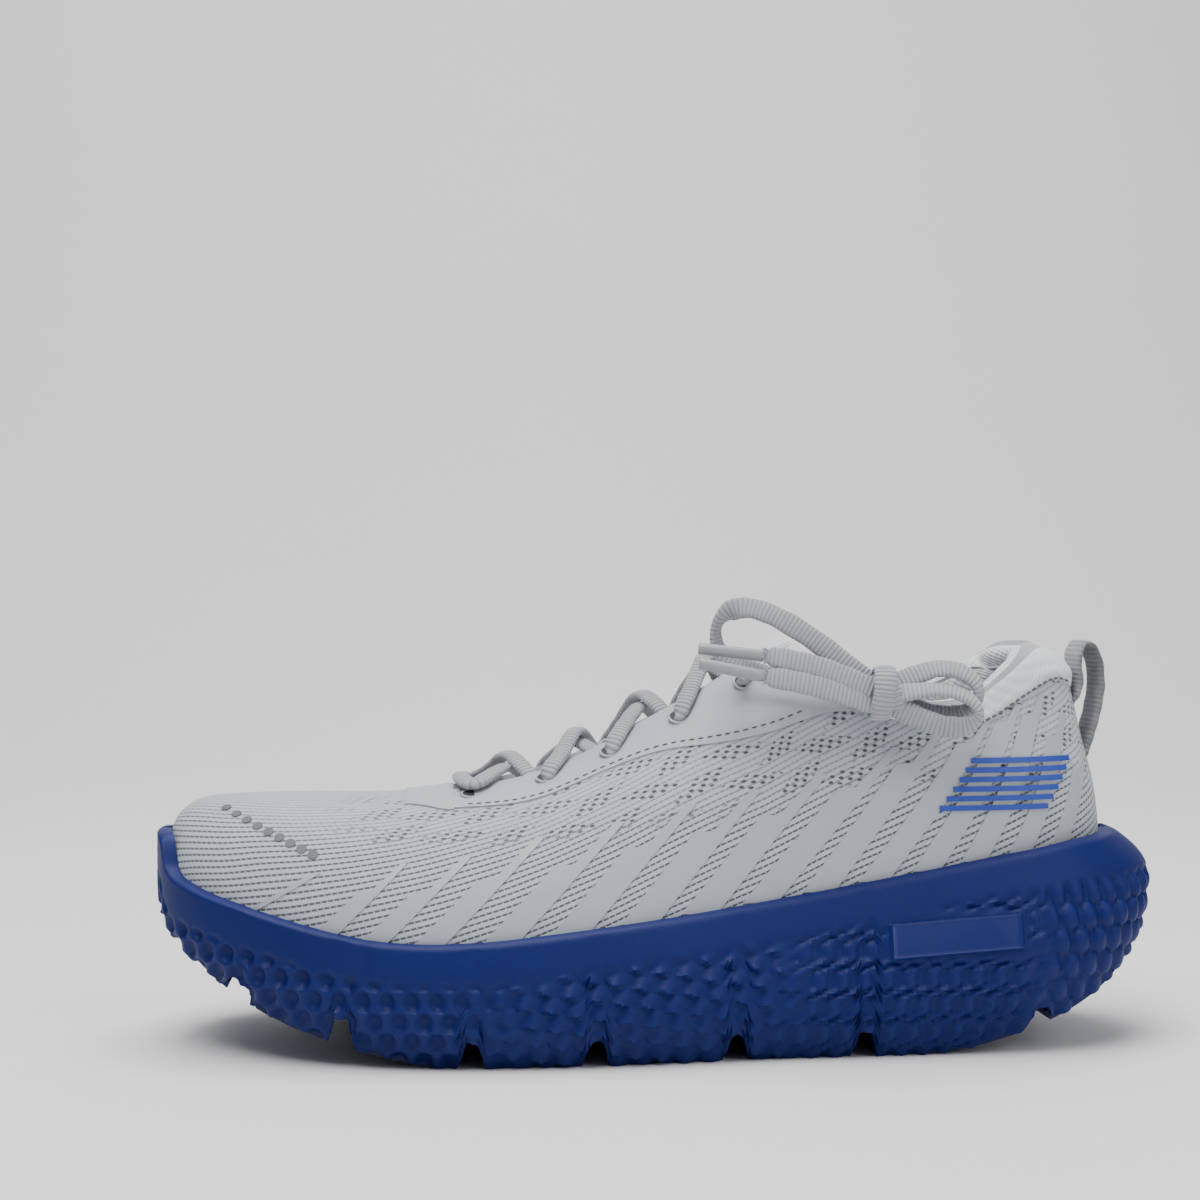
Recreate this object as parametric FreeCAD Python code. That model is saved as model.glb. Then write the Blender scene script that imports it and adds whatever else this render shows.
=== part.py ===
"""Left running shoe: moulded sole unit, knitted upper, padded collar, tongue, laces and pull tab.

Frame: +X runs from the toe to the heel, -Y is the outer (lateral) side, +Z is up. The origin is
under the middle of the shoe on the ground. Millimetres.
"""
import FreeCAD
import Part
import bisect
import math
import os

V = FreeCAD.Vector

# ---- overall sizes -------------------------------------------------------------------------
length = 300.0
forefoot_width = 112.0
waist_width = 88.0
heel_width = 92.0
toe_box_height = 74.3
collar_height = 120.6
stack_forefoot = 25.0
stack_heel = 38.0
ground_flat_front = -58.0
ground_flat_back = 62.0

# ---- upper ---------------------------------------------------------------------------------
mesh_thickness = 1.4
film_thickness = 0.6
film_bond = 0.12
stripe_thickness = 0.5
stripe_clearance = 0.8
layer_gap = 0.25
seat_clearance = 0.35
floor_clearance = 0.4
counter_thickness = 1.4
puff_thickness = 0.8
foam_thickness = 6.0
lining_thickness = 0.8
sole_lip = 3.6
throat_half_width = 11.0
throat_front = -62.0
centre_plane = 2.0
eyestay_width = 14.0
eyelet_inset = 6.5
eyelet_diameter = 4.6
eyelet_stations = [-57.0, -35.0, -16.0, 4.5, 24.0]
tongue_gap = 4.4
tongue_thickness = 3.4
tongue_front = -66.0
tongue_top = 41.0

# ---- foot bed ------------------------------------------------------------------------------
strobel_thickness = 1.4
sockliner_thickness = 4.6
plate_thickness = 1.2

# ---- sole ----------------------------------------------------------------------------------
rubber_thickness = 3.0
rubber_inset = 7.0
edge_bevel = 8.0
groove_mouth = 8.0
groove_root = 3.0
groove_depth = 8.5
groove_stations = [-124.0, -94.0, -57.5, -22.5, 18.0, 55.5, 108.0]
badge_length = 39.0
badge_height = 10.5
badge_thickness = 1.2

# ---- laces and tab -------------------------------------------------------------------------
lace_diameter = 4.4
lacing_diameter = 3.6
aglet_diameter = 3.4
aglet_length = 19.0
tab_width = 18.0
tab_thickness = 1.5
stripe_count = 22
stripe_width = 5.2
stripe_pitch = 10.6
dot_count = 9
dot_diameter = 3.0

half = length / 2.0
toe_tip = -half + sole_lip
heel_tip = half - 14.4


# ---- helpers -------------------------------------------------------------------------------
def curve(points):
    """A smooth function of one number through the given points, flat beyond both ends."""
    xs = [p[0] for p in points]
    ys = [p[1] for p in points]
    last = len(xs) - 1
    slopes = []
    for i in range(len(xs)):
        a = max(i - 1, 0)
        b = min(i + 1, last)
        slopes.append((ys[b] - ys[a]) / (xs[b] - xs[a]))

    def value(x):
        if x <= xs[0]:
            return ys[0]
        if x >= xs[last]:
            return ys[last]
        i = bisect.bisect_right(xs, x) - 1
        step = xs[i + 1] - xs[i]
        t = (x - xs[i]) / step
        t2 = t * t
        t3 = t2 * t
        return (
            (2 * t3 - 3 * t2 + 1) * ys[i]
            + (t3 - 2 * t2 + t) * step * slopes[i]
            + (3 * t2 - 2 * t3) * ys[i + 1]
            + (t3 - t2) * step * slopes[i + 1]
        )

    return value


def round_end(x, start, tip, power):
    """1 before start, falling to 0 at the tip as the end of a superellipse."""
    u = (x - start) / (tip - start)
    if u <= 0.0:
        return 1.0
    if u >= 1.0:
        return 0.0
    return (1.0 - u ** power) ** (1.0 / power)


def smooth_step(x, start, end):
    t = min(max((x - start) / (end - start), 0.0), 1.0)
    return t * t * (3.0 - 2.0 * t)


def soft_min(a, b, softness):
    """The lower of two numbers, with the corner between them rounded."""
    gap = a - b
    return 0.5 * (a + b) - 0.5 * math.sqrt(gap * gap + softness * softness)


def at(fraction):
    """X of a place given as a fraction of the length from the toe."""
    return (fraction - 0.5) * length


def spread(start, end, count, tight_start=False, tight_end=False):
    """Stations from start to end, gathered towards the ends that are tight."""
    places = []
    for i in range(count + 1):
        t = i / count
        if tight_start and tight_end:
            t = 0.5 - 0.5 * math.cos(math.pi * t)
        elif tight_start:
            t = 1.0 - math.cos(0.5 * math.pi * t)
        elif tight_end:
            t = math.sin(0.5 * math.pi * t)
        places.append(start + (end - start) * t)
    return places


def spline_edge(points):
    line = Part.BSplineCurve()
    line.interpolate(points)
    return line.toShape()


def even_curve(points):
    """A smooth curve with its points at even steps of the parameter."""
    last = len(points) - 1
    line = Part.BSplineCurve()
    line.interpolate(Points=points, Parameters=[i / last for i in range(last + 1)])
    return line


def surface_through(grid):
    """A smooth surface whose edge curves depend on nothing but their own points."""
    rows = [even_curve(row) for row in grid]
    poles = [row.getPoles() for row in rows]
    columns = [even_curve([row[k] for row in poles]) for k in range(len(poles[0]))]
    across = rows[0]
    along = columns[0]
    lines = [column.getPoles() for column in columns]
    net = [[line[i] for line in lines] for i in range(len(lines[0]))]
    surface = Part.BSplineSurface()
    surface.buildFromPolesMultsKnots(
        net, along.getMultiplicities(), across.getMultiplicities(),
        along.getKnots(), across.getKnots(), False, False, along.Degree, across.Degree)
    return surface


def solid_between(grid_a, grid_b):
    """The closed solid between two patches that have the same number of rows and columns."""
    a = surface_through(grid_a)
    b = surface_through(grid_b)
    faces = [a.toShape(), b.toShape()]
    u0, u1, v0, v1 = a.bounds()
    p0, p1, q0, q1 = b.bounds()
    pairs = [
        (a.uIso(u0), b.uIso(p0)), (a.uIso(u1), b.uIso(p1)),
        (a.vIso(v0), b.vIso(q0)), (a.vIso(v1), b.vIso(q1)),
    ]
    for side_a, side_b in pairs:
        middle_a = side_a.value(0.5 * (side_a.FirstParameter + side_a.LastParameter))
        middle_b = side_b.value(0.5 * (side_b.FirstParameter + side_b.LastParameter))
        if middle_a.distanceToPoint(middle_b) > 1e-4:
            faces.append(Part.makeRuledSurface(side_a.toShape(), side_b.toShape(), 1))
    shape = Part.makeCompound(faces)
    shape.sewShape()
    solid = Part.Solid(shape.Shells[0])
    if solid.Volume < 0:
        solid.reverse()
    return solid


def band_prism(x_start, x_end, lower, upper, y_start=-90.0, y_end=90.0, steps=26):
    """The space between two height curves over a stretch of X, from y_start to y_end."""
    low = []
    high = []
    for i in range(steps + 1):
        x = x_start + (x_end - x_start) * i / steps
        low.append(V(x, y_start, lower(x)))
        high.append(V(x, y_start, upper(x)))
    edges = [
        spline_edge(low),
        Part.LineSegment(low[-1], high[-1]).toShape(),
        spline_edge(high),
        Part.LineSegment(high[0], low[0]).toShape(),
    ]
    face = Part.Face(Part.Wire(Part.__sortEdges__(edges)))
    return face.extrude(V(0, y_end - y_start, 0))


def polygon_prism(points, direction):
    return Part.Face(Part.makePolygon(points + [points[0]])).extrude(direction)


def common(shape, others):
    for other in others:
        shape = shape.common(other)
    return shape


# ---- outer surface of the upper ------------------------------------------------------------
LATERAL = -1
MEDIAL = 1

lateral_width = curve([
    (at(0.0), 46.0), (at(0.08), 47.0), (at(0.17), 49.0), (at(0.25), 51.5), (at(0.33), 52.5),
    (at(0.42), 50.5), (at(0.5), 46.5), (at(0.58), 43.0), (at(0.67), 40.0), (at(0.75), 38.0),
    (at(0.83), 36.4), (at(1.0), 36.0),
])
medial_width = curve([
    (at(0.0), 52.0), (at(0.08), 50.5), (at(0.17), 48.8), (at(0.25), 48.5), (at(0.33), 46.0),
    (at(0.42), 40.0), (at(0.5), 34.0), (at(0.58), 30.5), (at(0.67), 30.0), (at(0.75), 31.2),
    (at(0.83), 31.8), (at(1.0), 32.0),
])
upper_top = curve([
    (toe_tip, toe_box_height - 13.0), (toe_tip + 1.0, toe_box_height - 9.0),
    (toe_tip + 3.5, toe_box_height - 5.2), (toe_tip + 8.0, toe_box_height - 2.2),
    (toe_tip + 16.0, toe_box_height - 0.6), (at(0.15), toe_box_height),
    (at(0.245), toe_box_height + 0.2), (at(0.32), toe_box_height + 3.2), (at(0.38), 81.8),
    (at(0.443), 90.5), (at(0.493), 99.5), (at(0.533), 106.5), (at(0.563), 112.0),
    (at(0.61), 119.5), (at(0.66), 126.0), (at(0.72), 132.0), (at(0.8), 136.0),
])
foot_floor = curve([
    (at(0.0), stack_forefoot + 12.0), (at(0.083), stack_forefoot + 6.5),
    (at(0.167), stack_forefoot + 2.0), (at(0.25), stack_forefoot), (at(0.33), stack_forefoot),
    (at(0.42), stack_forefoot + 1.6), (at(0.58), stack_forefoot + 7.0),
    (at(0.72), stack_heel - 2.0), (at(0.83), stack_heel), (at(1.0), stack_heel + 2.5),
])
dome_power = curve([
    (at(0.0), 3.2), (at(0.2), 2.7), (at(0.35), 2.1), (at(0.6), 2.0), (at(0.72), 5.0),
    (at(0.85), 9.0),
])
heel_back = curve([
    (45.0, -0.4), (62.0, 0.0), (77.0, -1.6), (89.0, -4.6), (101.5, -7.4), (105.6, -8.2),
    (111.0, -9.4), (116.0, -14.0), (119.8, -21.6), (122.5, -28.0),
])
heel_lean = curve([(50.0, 1.0), (75.0, 0.98), (95.0, 0.87), (112.0, 0.82), (125.0, 0.84)])


def surface_place(x, angle, side):
    """A point of the outer surface: x along the shoe, angle 0 at the floor and 90 at the ridge."""
    floor_z = foot_floor(x)
    rise = math.sin(angle)
    z = floor_z + (upper_top(x) - floor_z) * rise
    width = lateral_width(x) if side == LATERAL else medial_width(x)
    width *= max(1.0 - rise ** dome_power(x), 0.0) ** 0.5
    width *= round_end(x, at(0.27), toe_tip, 2.4) * round_end(x, at(0.78), heel_tip, 2.3)
    width *= 1.0 + (heel_lean(z) - 1.0) * smooth_step(x, at(0.6), at(0.8))
    tuck = max(0.0, 1.0 - (z - floor_z) / 12.0)
    width *= 1.0 - 0.07 * tuck * tuck
    shift = heel_back(z) * smooth_step(x, at(0.72), heel_tip)
    return V(x + shift, centre_plane + side * width, z)


def surface_point(x, angle, side, offset):
    """The same point moved outwards by offset along the surface's normal."""
    step = 0.02
    near = min(max(x, toe_tip + step), heel_tip - step)
    tilt = min(max(angle, 0.01), 0.5 * math.pi - 0.02)
    along = surface_place(near + step, tilt, side).sub(surface_place(near - step, tilt, side))
    upwards = surface_place(near, tilt + 0.01, side).sub(surface_place(near, tilt - 0.01, side))
    normal = along.cross(upwards).multiply(-side)
    at_ridge = angle >= 0.5 * math.pi - 1e-6
    at_tip = x >= heel_tip - 1e-6 or x <= toe_tip + 1e-6
    if at_ridge:
        normal = V(-along.z, 0, along.x)
    if at_tip:
        end = 1.0 if x > 0.0 else -1.0
        normal = V(upwards.z, 0, -upwards.x).normalize().multiply(end)
        if at_ridge:
            normal = V(0.7 * end, 0, 0.7)
    normal.normalize()
    normal.x *= 1.0 - smooth_step(x, at(0.12), at(0.22)) * (1.0 - smooth_step(x, at(0.7), at(0.8)))
    normal.normalize()
    return surface_place(x, angle, side).add(normal.multiply(offset))


def angle_at_height(x, z):
    floor_z = foot_floor(x)
    rise = (z - floor_z) / (upper_top(x) - floor_z)
    return math.asin(min(max(rise, 0.0), 1.0))


def angle_at_width(x, distance, side):
    """The angle at which the surface is this far from the centre plane, near the ridge."""
    width = lateral_width(x) if side == LATERAL else medial_width(x)
    across = min(distance / width, 1.0)
    return math.asin((1.0 - across * across) ** (1.0 / dome_power(x)))


def skins(side, place, inner, outer, rows, columns):
    """The outer and inner faces of a wall over the places (x, angle) that place(s, t) gives."""
    grid_out = []
    grid_in = []
    for i in range(rows + 1):
        line_out = []
        line_in = []
        for j in range(columns + 1):
            x, angle = place(i / rows, j / columns)
            line_out.append(surface_point(x, angle, side, outer(x)))
            line_in.append(surface_point(x, angle, side, inner(x)))
        grid_out.append(line_out)
        grid_in.append(line_in)
    return grid_out, grid_in


def patch(side, place, inner, outer, rows, columns):
    """One piece of wall as a solid of its own."""
    grid_out, grid_in = skins(side, place, inner, outer, rows, columns)
    return solid_between(grid_out, grid_in)


def sewn(pieces, tolerance=0.01):
    """One wall from neighbouring patches; each names the sides that are its free edges."""
    faces = []
    for (grid_out, grid_in), free in pieces:
        a = surface_through(grid_out)
        b = surface_through(grid_in)
        u0, u1, v0, v1 = a.bounds()
        p0, p1, q0, q1 = b.bounds()
        faces += [a.toShape(), b.toShape()]
        edges = {
            "front": (a.uIso(u0), b.uIso(p0)), "back": (a.uIso(u1), b.uIso(p1)),
            "low": (a.vIso(v0), b.vIso(q0)), "high": (a.vIso(v1), b.vIso(q1)),
        }
        for name in free:
            one, other = edges[name]
            faces.append(Part.makeRuledSurface(one.toShape(), other.toShape(), 1))
    shape = Part.makeCompound(faces)
    shape.sewShape(tolerance)
    solid = Part.Solid(shape.Shells[0])
    if solid.Volume < 0:
        solid.reverse()
    return solid


def flat(value):
    return lambda x: value


def wall_skins(side, stations, low, high, inner, outer, columns=9):
    """A wall along the shoe; low and high give its lower and upper edge as angles."""
    rows = len(stations) - 1

    def place(s, t):
        x = stations[round(s * rows)]
        return x, low(x) + (high(x) - low(x)) * t

    return skins(side, place, inner, outer, rows, columns)


def closed_tube(place, start, end, levels, count=44):
    """A block between two flat ends; place(x, side, z) gives the points of its wall."""
    stations = spread(start, end, count, True, True)
    walls = []
    for side in sides:
        walls.append(surface_through([[place(x, side, z) for x in stations] for z in levels]))
    faces = [wall.toShape() for wall in walls]
    for end_of in (0, 1):
        edges = [wall.uIso(wall.bounds()[end_of]).toShape() for wall in walls]
        faces.append(Part.Face(Part.Wire(Part.__sortEdges__(edges))))
    shape = Part.makeCompound(faces)
    shape.sewShape(0.001)
    solid = Part.Solid(shape.Shells[0])
    if solid.Volume < 0:
        solid.reverse()
    return solid


def level_range(bottom, top, count):
    return [bottom + (top - bottom) * i / count for i in range(count + 1)]


def foot_block(clearance):
    """The space of the upper as far up as the sole's edge, with upright walls above that."""
    def place(x, side, z):
        height = min(max(z, foot_floor(x) - clearance), sole_edge(x) - 3.0)
        angle = angle_at_height(x, height)
        spot = surface_point(x, angle, side, clearance)
        return V(spot.x, spot.y, z)

    block = closed_tube(place, toe_tip, heel_tip, level_range(10.0, 90.0, 20))

    def low(x):
        return foot_floor(x) - clearance

    return block.common(band_prism(-half - 10.0, half + 10.0, low, lambda x: 100.0))


def floor_slab(x_start, x_end, offset, bottom, top):
    """A sheet that lies on the foot bed and fills it from side to side, less an offset."""
    grids = []
    for rise in (bottom, top):
        grid = []
        for x in spread(x_start, x_end, 30, True, True):
            z = foot_floor(x) + rise
            angle = angle_at_height(x, z)
            outer_y = surface_point(x, angle, LATERAL, offset).y
            inner_y = surface_point(x, angle, MEDIAL, offset).y
            grid.append([V(x, outer_y + (inner_y - outer_y) * k / 6, z) for k in range(7)])
        grids.append(grid)
    return solid_between(grids[1], grids[0])


# ---- edges of the upper --------------------------------------------------------------------
rim_height = curve([
    (20.0, 116.5), (30.0, 113.0), (45.0, 108.0), (60.0, 105.0), (75.0, 103.3), (86.0, 103.6),
    (96.5, 106.4), (106.0, 111.6), (117.0, 116.6), (128.0, collar_height - 0.8),
    (heel_tip, collar_height),
])
band_height = curve([
    (20.0, 116.0), (30.0, 112.2), (45.0, 106.2), (60.0, 101.6), (75.0, 96.6), (86.0, 94.6),
    (98.0, 97.1), (110.0, 102.5), (122.0, 107.6), (127.5, 108.6), (132.0, 107.4),
    (heel_tip, 105.2),
])
medial_lift = curve([(20.0, 0.0), (60.0, 4.0), (96.0, 4.0), (108.0, 1.5), (118.0, 0.0)])
collar_front = 44.0


def rim(x, side):
    return rim_height(x) + (medial_lift(x) if side == MEDIAL else 0.0)


def band(x, side):
    return band_height(x) + (medial_lift(x) if side == MEDIAL else 0.0)


def upper_edge(side):
    """Upper edge of the mesh: along the throat, then under the collar lining's band."""
    def angle(x):
        throat = angle_at_width(x, throat_half_width, side)
        collar = angle_at_height(x, band(x, side))
        return soft_min(throat, collar, 0.03) if x < at(0.85) else collar
    return angle


def ridge(x):
    return 0.5 * math.pi


def floor_edge(x):
    return 0.0


def above_floor(rise):
    return lambda x: angle_at_height(x, foot_floor(x) + rise)


def below_rim(drop, side):
    return lambda x: angle_at_height(x, rim(x, side) - drop)


# ---- upper pieces --------------------------------------------------------------------------
front_stations = spread(toe_tip, throat_front, 26, True)
back_stations = spread(throat_front, heel_tip, 40, False, True)
collar_stations = spread(collar_front, heel_tip, 30, False, True)
sides = (LATERAL, MEDIAL)
vamp_angle = 1.1


def eyelet_place(x, side):
    return angle_at_width(x, throat_half_width + eyelet_inset, side)


def eyelet_drills():
    """Pins along the surface's normals at the eyelets, to cut the holes with."""
    pins = []
    for side in sides:
        for x in eyelet_stations:
            angle = eyelet_place(x, side)
            low = surface_point(x, angle, side, -8.0)
            high = surface_point(x, angle, side, 8.0)
            pins.append(Part.makeCylinder(eyelet_diameter / 2, 16.0, low, high.sub(low)))
    return pins


def drilled(wall):
    """The wall with the eyelets punched through it."""
    for pin in eyelet_drills():
        wall = wall.cut(pin)
    return wall


def make_upper_mesh():
    """The one-piece knit: toe box, both quarters and the seam at the heel."""
    inner = flat(-mesh_thickness)
    outer = flat(0.0)
    pieces = []
    for s in sides:
        edge = upper_edge(s)

        def seam(x, corner=edge(throat_front)):
            share = (x - toe_tip) / (throat_front - toe_tip)
            return vamp_angle + (corner - vamp_angle) * share

        pieces += [
            (wall_skins(s, front_stations, floor_edge, seam, inner, outer), ("low",)),
            (wall_skins(s, front_stations, seam, ridge, inner, outer, 4), ("back",)),
            (wall_skins(s, back_stations, floor_edge, edge, inner, outer), ("low", "high")),
        ]
    return drilled(sewn(pieces))


def make_eyestay():
    """The smooth film round the throat, with the eyelets through it."""
    outer = flat(film_bond + film_thickness)
    inner = flat(film_bond)
    front = spread(throat_front - eyestay_width, throat_front, 8)
    back = spread(throat_front, at(0.7), 20)
    pieces = []
    for s in sides:
        def low(x, s=s):
            reach = throat_half_width + eyestay_width + 10.0 * smooth_step(x, 0.0, at(0.7))
            lowest = 50.0 + 32.0 * smooth_step(x, -20.0, at(0.7))
            return max(angle_at_width(x, reach, s), angle_at_height(x, lowest))
        edge = upper_edge(s)
        seam = flat(edge(throat_front))
        pieces += [
            (wall_skins(s, front, low, seam, inner, outer, 4), ("front", "low")),
            (wall_skins(s, front, seam, ridge, inner, outer, 3), ("front", "back")),
            (wall_skins(s, back, low, edge, inner, outer, 4), ("low", "back", "high")),
        ]
    return drilled(sewn(pieces))


stripe_rise = curve([
    (-118.0, 13.0), (-80.0, 19.0), (-30.0, 25.0), (10.0, 33.0), (50.0, 40.0), (75.0, 40.0),
])
sole_edge = curve([
    (-half, 64.0), (-148.0, 62.0), (-146.0, 54.0), (-140.0, 50.0), (-125.0, 45.6),
    (-102.0, 39.8), (-82.0, 36.4), (-60.0, 36.0), (-30.0, 38.6), (12.0, 43.6), (70.0, 53.0),
    (100.0, 58.3), (126.0, 61.5), (half, 63.0),
])


def stripe(side, x_foot, width, rise):
    """One slanted parallelogram of film, from just under the sole's edge upwards."""
    def place(s, t):
        x = x_foot + s * width + t * rise
        z = sole_edge(x_foot + 0.5 * width) + stripe_clearance + t * rise
        return x, angle_at_height(x, z)
    return patch(side, place, flat(film_bond), flat(film_bond + stripe_thickness), 3, 8)


def make_stripes(side):
    pieces = []
    for k in range(stripe_count):
        x_foot = at(0.107) + k * stripe_pitch * 0.83
        pieces.append(stripe(side, x_foot, stripe_width, stripe_rise(x_foot)))
    return Part.makeCompound(pieces)


def make_heel_stripes(side):
    pieces = []
    for k in range(3):
        x_foot = 82.0 + k * 13.0
        pieces.append(stripe(side, x_foot, 7.0, 34.0 - 8.0 * k))
    return Part.makeCompound(pieces)


def make_heel_emblem():
    """Six thin slanted bars on the outer side of the heel."""
    bars = []
    for k in range(6):
        def place(s, t, k=k):
            x = 79.0 + 2.2 * k + 34.0 * s
            z = 70.5 + 2.7 * k + 1.5 * t
            return x, angle_at_height(x, z)
        base = film_bond + stripe_thickness + 0.03
        bars.append(patch(LATERAL, place, flat(base), flat(base + 0.3), 8, 2))
    return Part.makeCompound(bars)


def make_toe_dots():
    dots = []
    for k in range(dot_count):
        t = k / (dot_count - 1)
        x = -128.6 + 26.3 * t
        z = 70.9 - 11.6 * t
        angle = angle_at_height(x, z)
        base = surface_point(x, angle, LATERAL, 0.05)
        out = surface_point(x, angle, LATERAL, 1.05).sub(base)
        dots.append(Part.makeCylinder(dot_diameter / 2, 0.3, base, out))
    return Part.makeCompound(dots)


counter_outer = -(mesh_thickness + layer_gap)
counter_inner = counter_outer - counter_thickness
foam_outer = counter_inner - layer_gap
foam_inner = foam_outer - foam_thickness
lining_outer = foam_inner - 0.05


def two_sided(stations, low, high, inner, outer, free, columns=9):
    """A wall on both sides of the shoe that meets itself on the centre plane."""
    pieces = [
        (wall_skins(s, stations, low(s), high(s), inner, outer, columns), free) for s in sides
    ]
    return sewn(pieces)


def make_heel_counter():
    stations = spread(at(0.77), heel_tip, 18, False, True)
    return two_sided(
        stations, lambda s: above_floor(9.0), lambda s: lambda x: angle_at_height(x, 92.0),
        flat(counter_inner), flat(counter_outer), ("front", "low", "high"))


def make_toe_puff():
    stations = spread(toe_tip, at(0.15), 18, True)
    return two_sided(
        stations, lambda s: above_floor(9.0), lambda s: ridge,
        flat(counter_outer - puff_thickness), flat(counter_outer), ("back", "low"))


def make_collar_foam():
    return two_sided(
        collar_stations, lambda s: below_rim(36.0, s), lambda s: below_rim(1.4, s),
        flat(foam_inner), flat(foam_outer), ("front", "low", "high"))


def make_collar_roll():
    """The soft edge of the foam that fills the lining's turned band."""
    def low(s):
        return lambda x: angle_at_height(x, min(band(x, s) + 0.3, rim(x, s) - 1.6))
    return two_sided(
        collar_stations, low, lambda s: below_rim(1.0, s),
        flat(foam_outer + 0.05), flat(-0.1), ("front", "low", "high"))


def lining_profile(x, side, skin):
    """Height and offset of one skin of the lining: up inside, over the rim, down outside."""
    bottom = foot_floor(x) + 9.0
    top = rim(x, side)
    turned = band(x, side) + 0.3
    crest = top + skin
    inside = lining_outer - skin
    outside = skin
    line = [(bottom + (top - 3.0 - bottom) * k / 6, inside) for k in range(7)]
    line += [
        (top - 1.2, inside), (crest - 0.25, inside + 0.5), (crest, inside + 1.6),
        (crest, 0.5 * (inside + outside)), (crest, outside - 1.6), (crest - 0.25, outside - 0.5),
        (top - 1.2, outside),
    ]
    low = min(turned, top - 2.2)
    line += [(top - 1.2 + (low - top + 1.2) * k / 4, outside) for k in range(1, 5)]
    return line


def make_collar_lining():
    pieces = []
    for side in sides:
        grids = []
        for skin in (lining_thickness, 0.0):
            grids.append([
                [
                    surface_point(x, angle_at_height(x, z), side, offset)
                    for z, offset in lining_profile(x, side, skin)
                ]
                for x in collar_stations
            ])
        pieces.append((grids, ("front", "low", "high")))
    return sewn(pieces)


tongue_half = curve([
    (-66.0, 8.0), (-50.0, 14.0), (-10.0, 19.0), (12.0, 17.0), (25.0, 10.8), (41.0, 10.5),
])
tongue_level = curve([(-66.0, 0.0), (12.0, 0.0), (33.0, 1.0), (41.0, 1.0)])


def make_tongue():
    sunk = mesh_thickness + tongue_gap

    def outer(x):
        return -sunk * (1.0 - tongue_level(x)) - 0.4 * tongue_level(x)

    def inner(x):
        return outer(x) - tongue_thickness

    def low(s):
        return lambda x: angle_at_width(x, tongue_half(x), s)

    stations = spread(tongue_front, tongue_top, 24)
    return two_sided(stations, low, lambda s: ridge, inner, outer, ("front", "back", "low"), 6)


def make_strobel():
    return floor_slab(
        toe_tip + 3.4, heel_tip - 3.4, counter_outer - floor_clearance, 0.1, strobel_thickness)


def make_sockliner():
    low = strobel_thickness + layer_gap
    return floor_slab(
        toe_tip + 4.2, heel_tip - 4.2, counter_outer - 2.0 * floor_clearance, low,
        low + sockliner_thickness)


# ---- sole unit -----------------------------------------------------------------------------
sole_lateral = curve([
    (at(0.0), 0.41 * forefoot_width), (at(0.1), 0.43 * forefoot_width),
    (at(0.2), 0.47 * forefoot_width), (at(0.33), 0.5 * forefoot_width),
    (at(0.45), 0.485 * forefoot_width), (at(0.58), 0.56 * waist_width),
    (at(0.68), 0.54 * waist_width), (at(0.8), 0.5 * heel_width), (at(1.0), 0.5 * heel_width),
])
sole_medial = curve([
    (at(0.0), 0.5 * forefoot_width), (at(0.1), 0.5 * forefoot_width),
    (at(0.2), 0.495 * forefoot_width), (at(0.3), 0.49 * forefoot_width),
    (at(0.42), 0.425 * forefoot_width), (at(0.52), 0.45 * waist_width),
    (at(0.62), 0.44 * waist_width), (at(0.72), 0.46 * waist_width),
    (at(0.82), 0.485 * heel_width), (at(1.0), 0.485 * heel_width),
])
sole_bottom = curve([
    (-half, 46.0), (-148.0, 40.0), (-138.0, 29.5), (-122.0, 17.5), (-102.0, 9.0), (-82.0, 3.4),
    (-70.0, 1.0), (ground_flat_front, 0.0), (ground_flat_back, 0.0), (76.0, 0.8), (88.0, 2.6),
    (111.0, 9.5), (130.0, 19.5), (143.0, 32.0), (half, 43.0),
])


def sole_width(x, side):
    """Half width of the sole at its fullest, from the centre plane."""
    width = sole_lateral(x) + centre_plane if side == LATERAL else sole_medial(x) - centre_plane
    return width * round_end(x, at(0.27), -half, 2.4) * round_end(x, at(0.8), half, 2.4)


def sole_place(x, height, side):
    """A point of the sidewall: height 0 at the ground edge and 1 at the upper edge."""
    full = sole_width(x, side)
    ends = round_end(x, at(0.27), -half, 2.4) * round_end(x, at(0.8), half, 2.4)
    seat = (lateral_width(x) if side == LATERAL else medial_width(x)) + sole_lip
    width = full
    if height < 0.4:
        width -= edge_bevel * ends * (1.0 - height / 0.4) ** 2
    if height > 0.45:
        width += (seat * ends - full) * ((height - 0.45) / 0.55) ** 1.6
    low = sole_bottom(x) - 1.0
    z = low + (sole_edge(x) - low) * height
    pull = (heel_tip + sole_lip - half) * max(0.0, (height - 0.4) / 0.6) ** 1.8
    return V(x + pull * smooth_step(x, at(0.84), half), centre_plane + side * width, z)


def sole_block():
    """The whole sole unit's outer shape, from its ground line to its upper edge."""
    def place(x, side, z):
        low = sole_bottom(x) - 1.0
        height = min(max((z - low) / (sole_edge(x) - low), 0.0), 1.0)
        spot = sole_place(x, height, side)
        return V(spot.x, spot.y, z)

    block = closed_tube(place, -half, half, level_range(-8.0, 80.0, 34))
    under_edge = band_prism(-half - 10.0, half + 10.0, lambda x: -20.0, sole_edge)
    return common(block, [ground_shape(0.0), under_edge])


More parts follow.
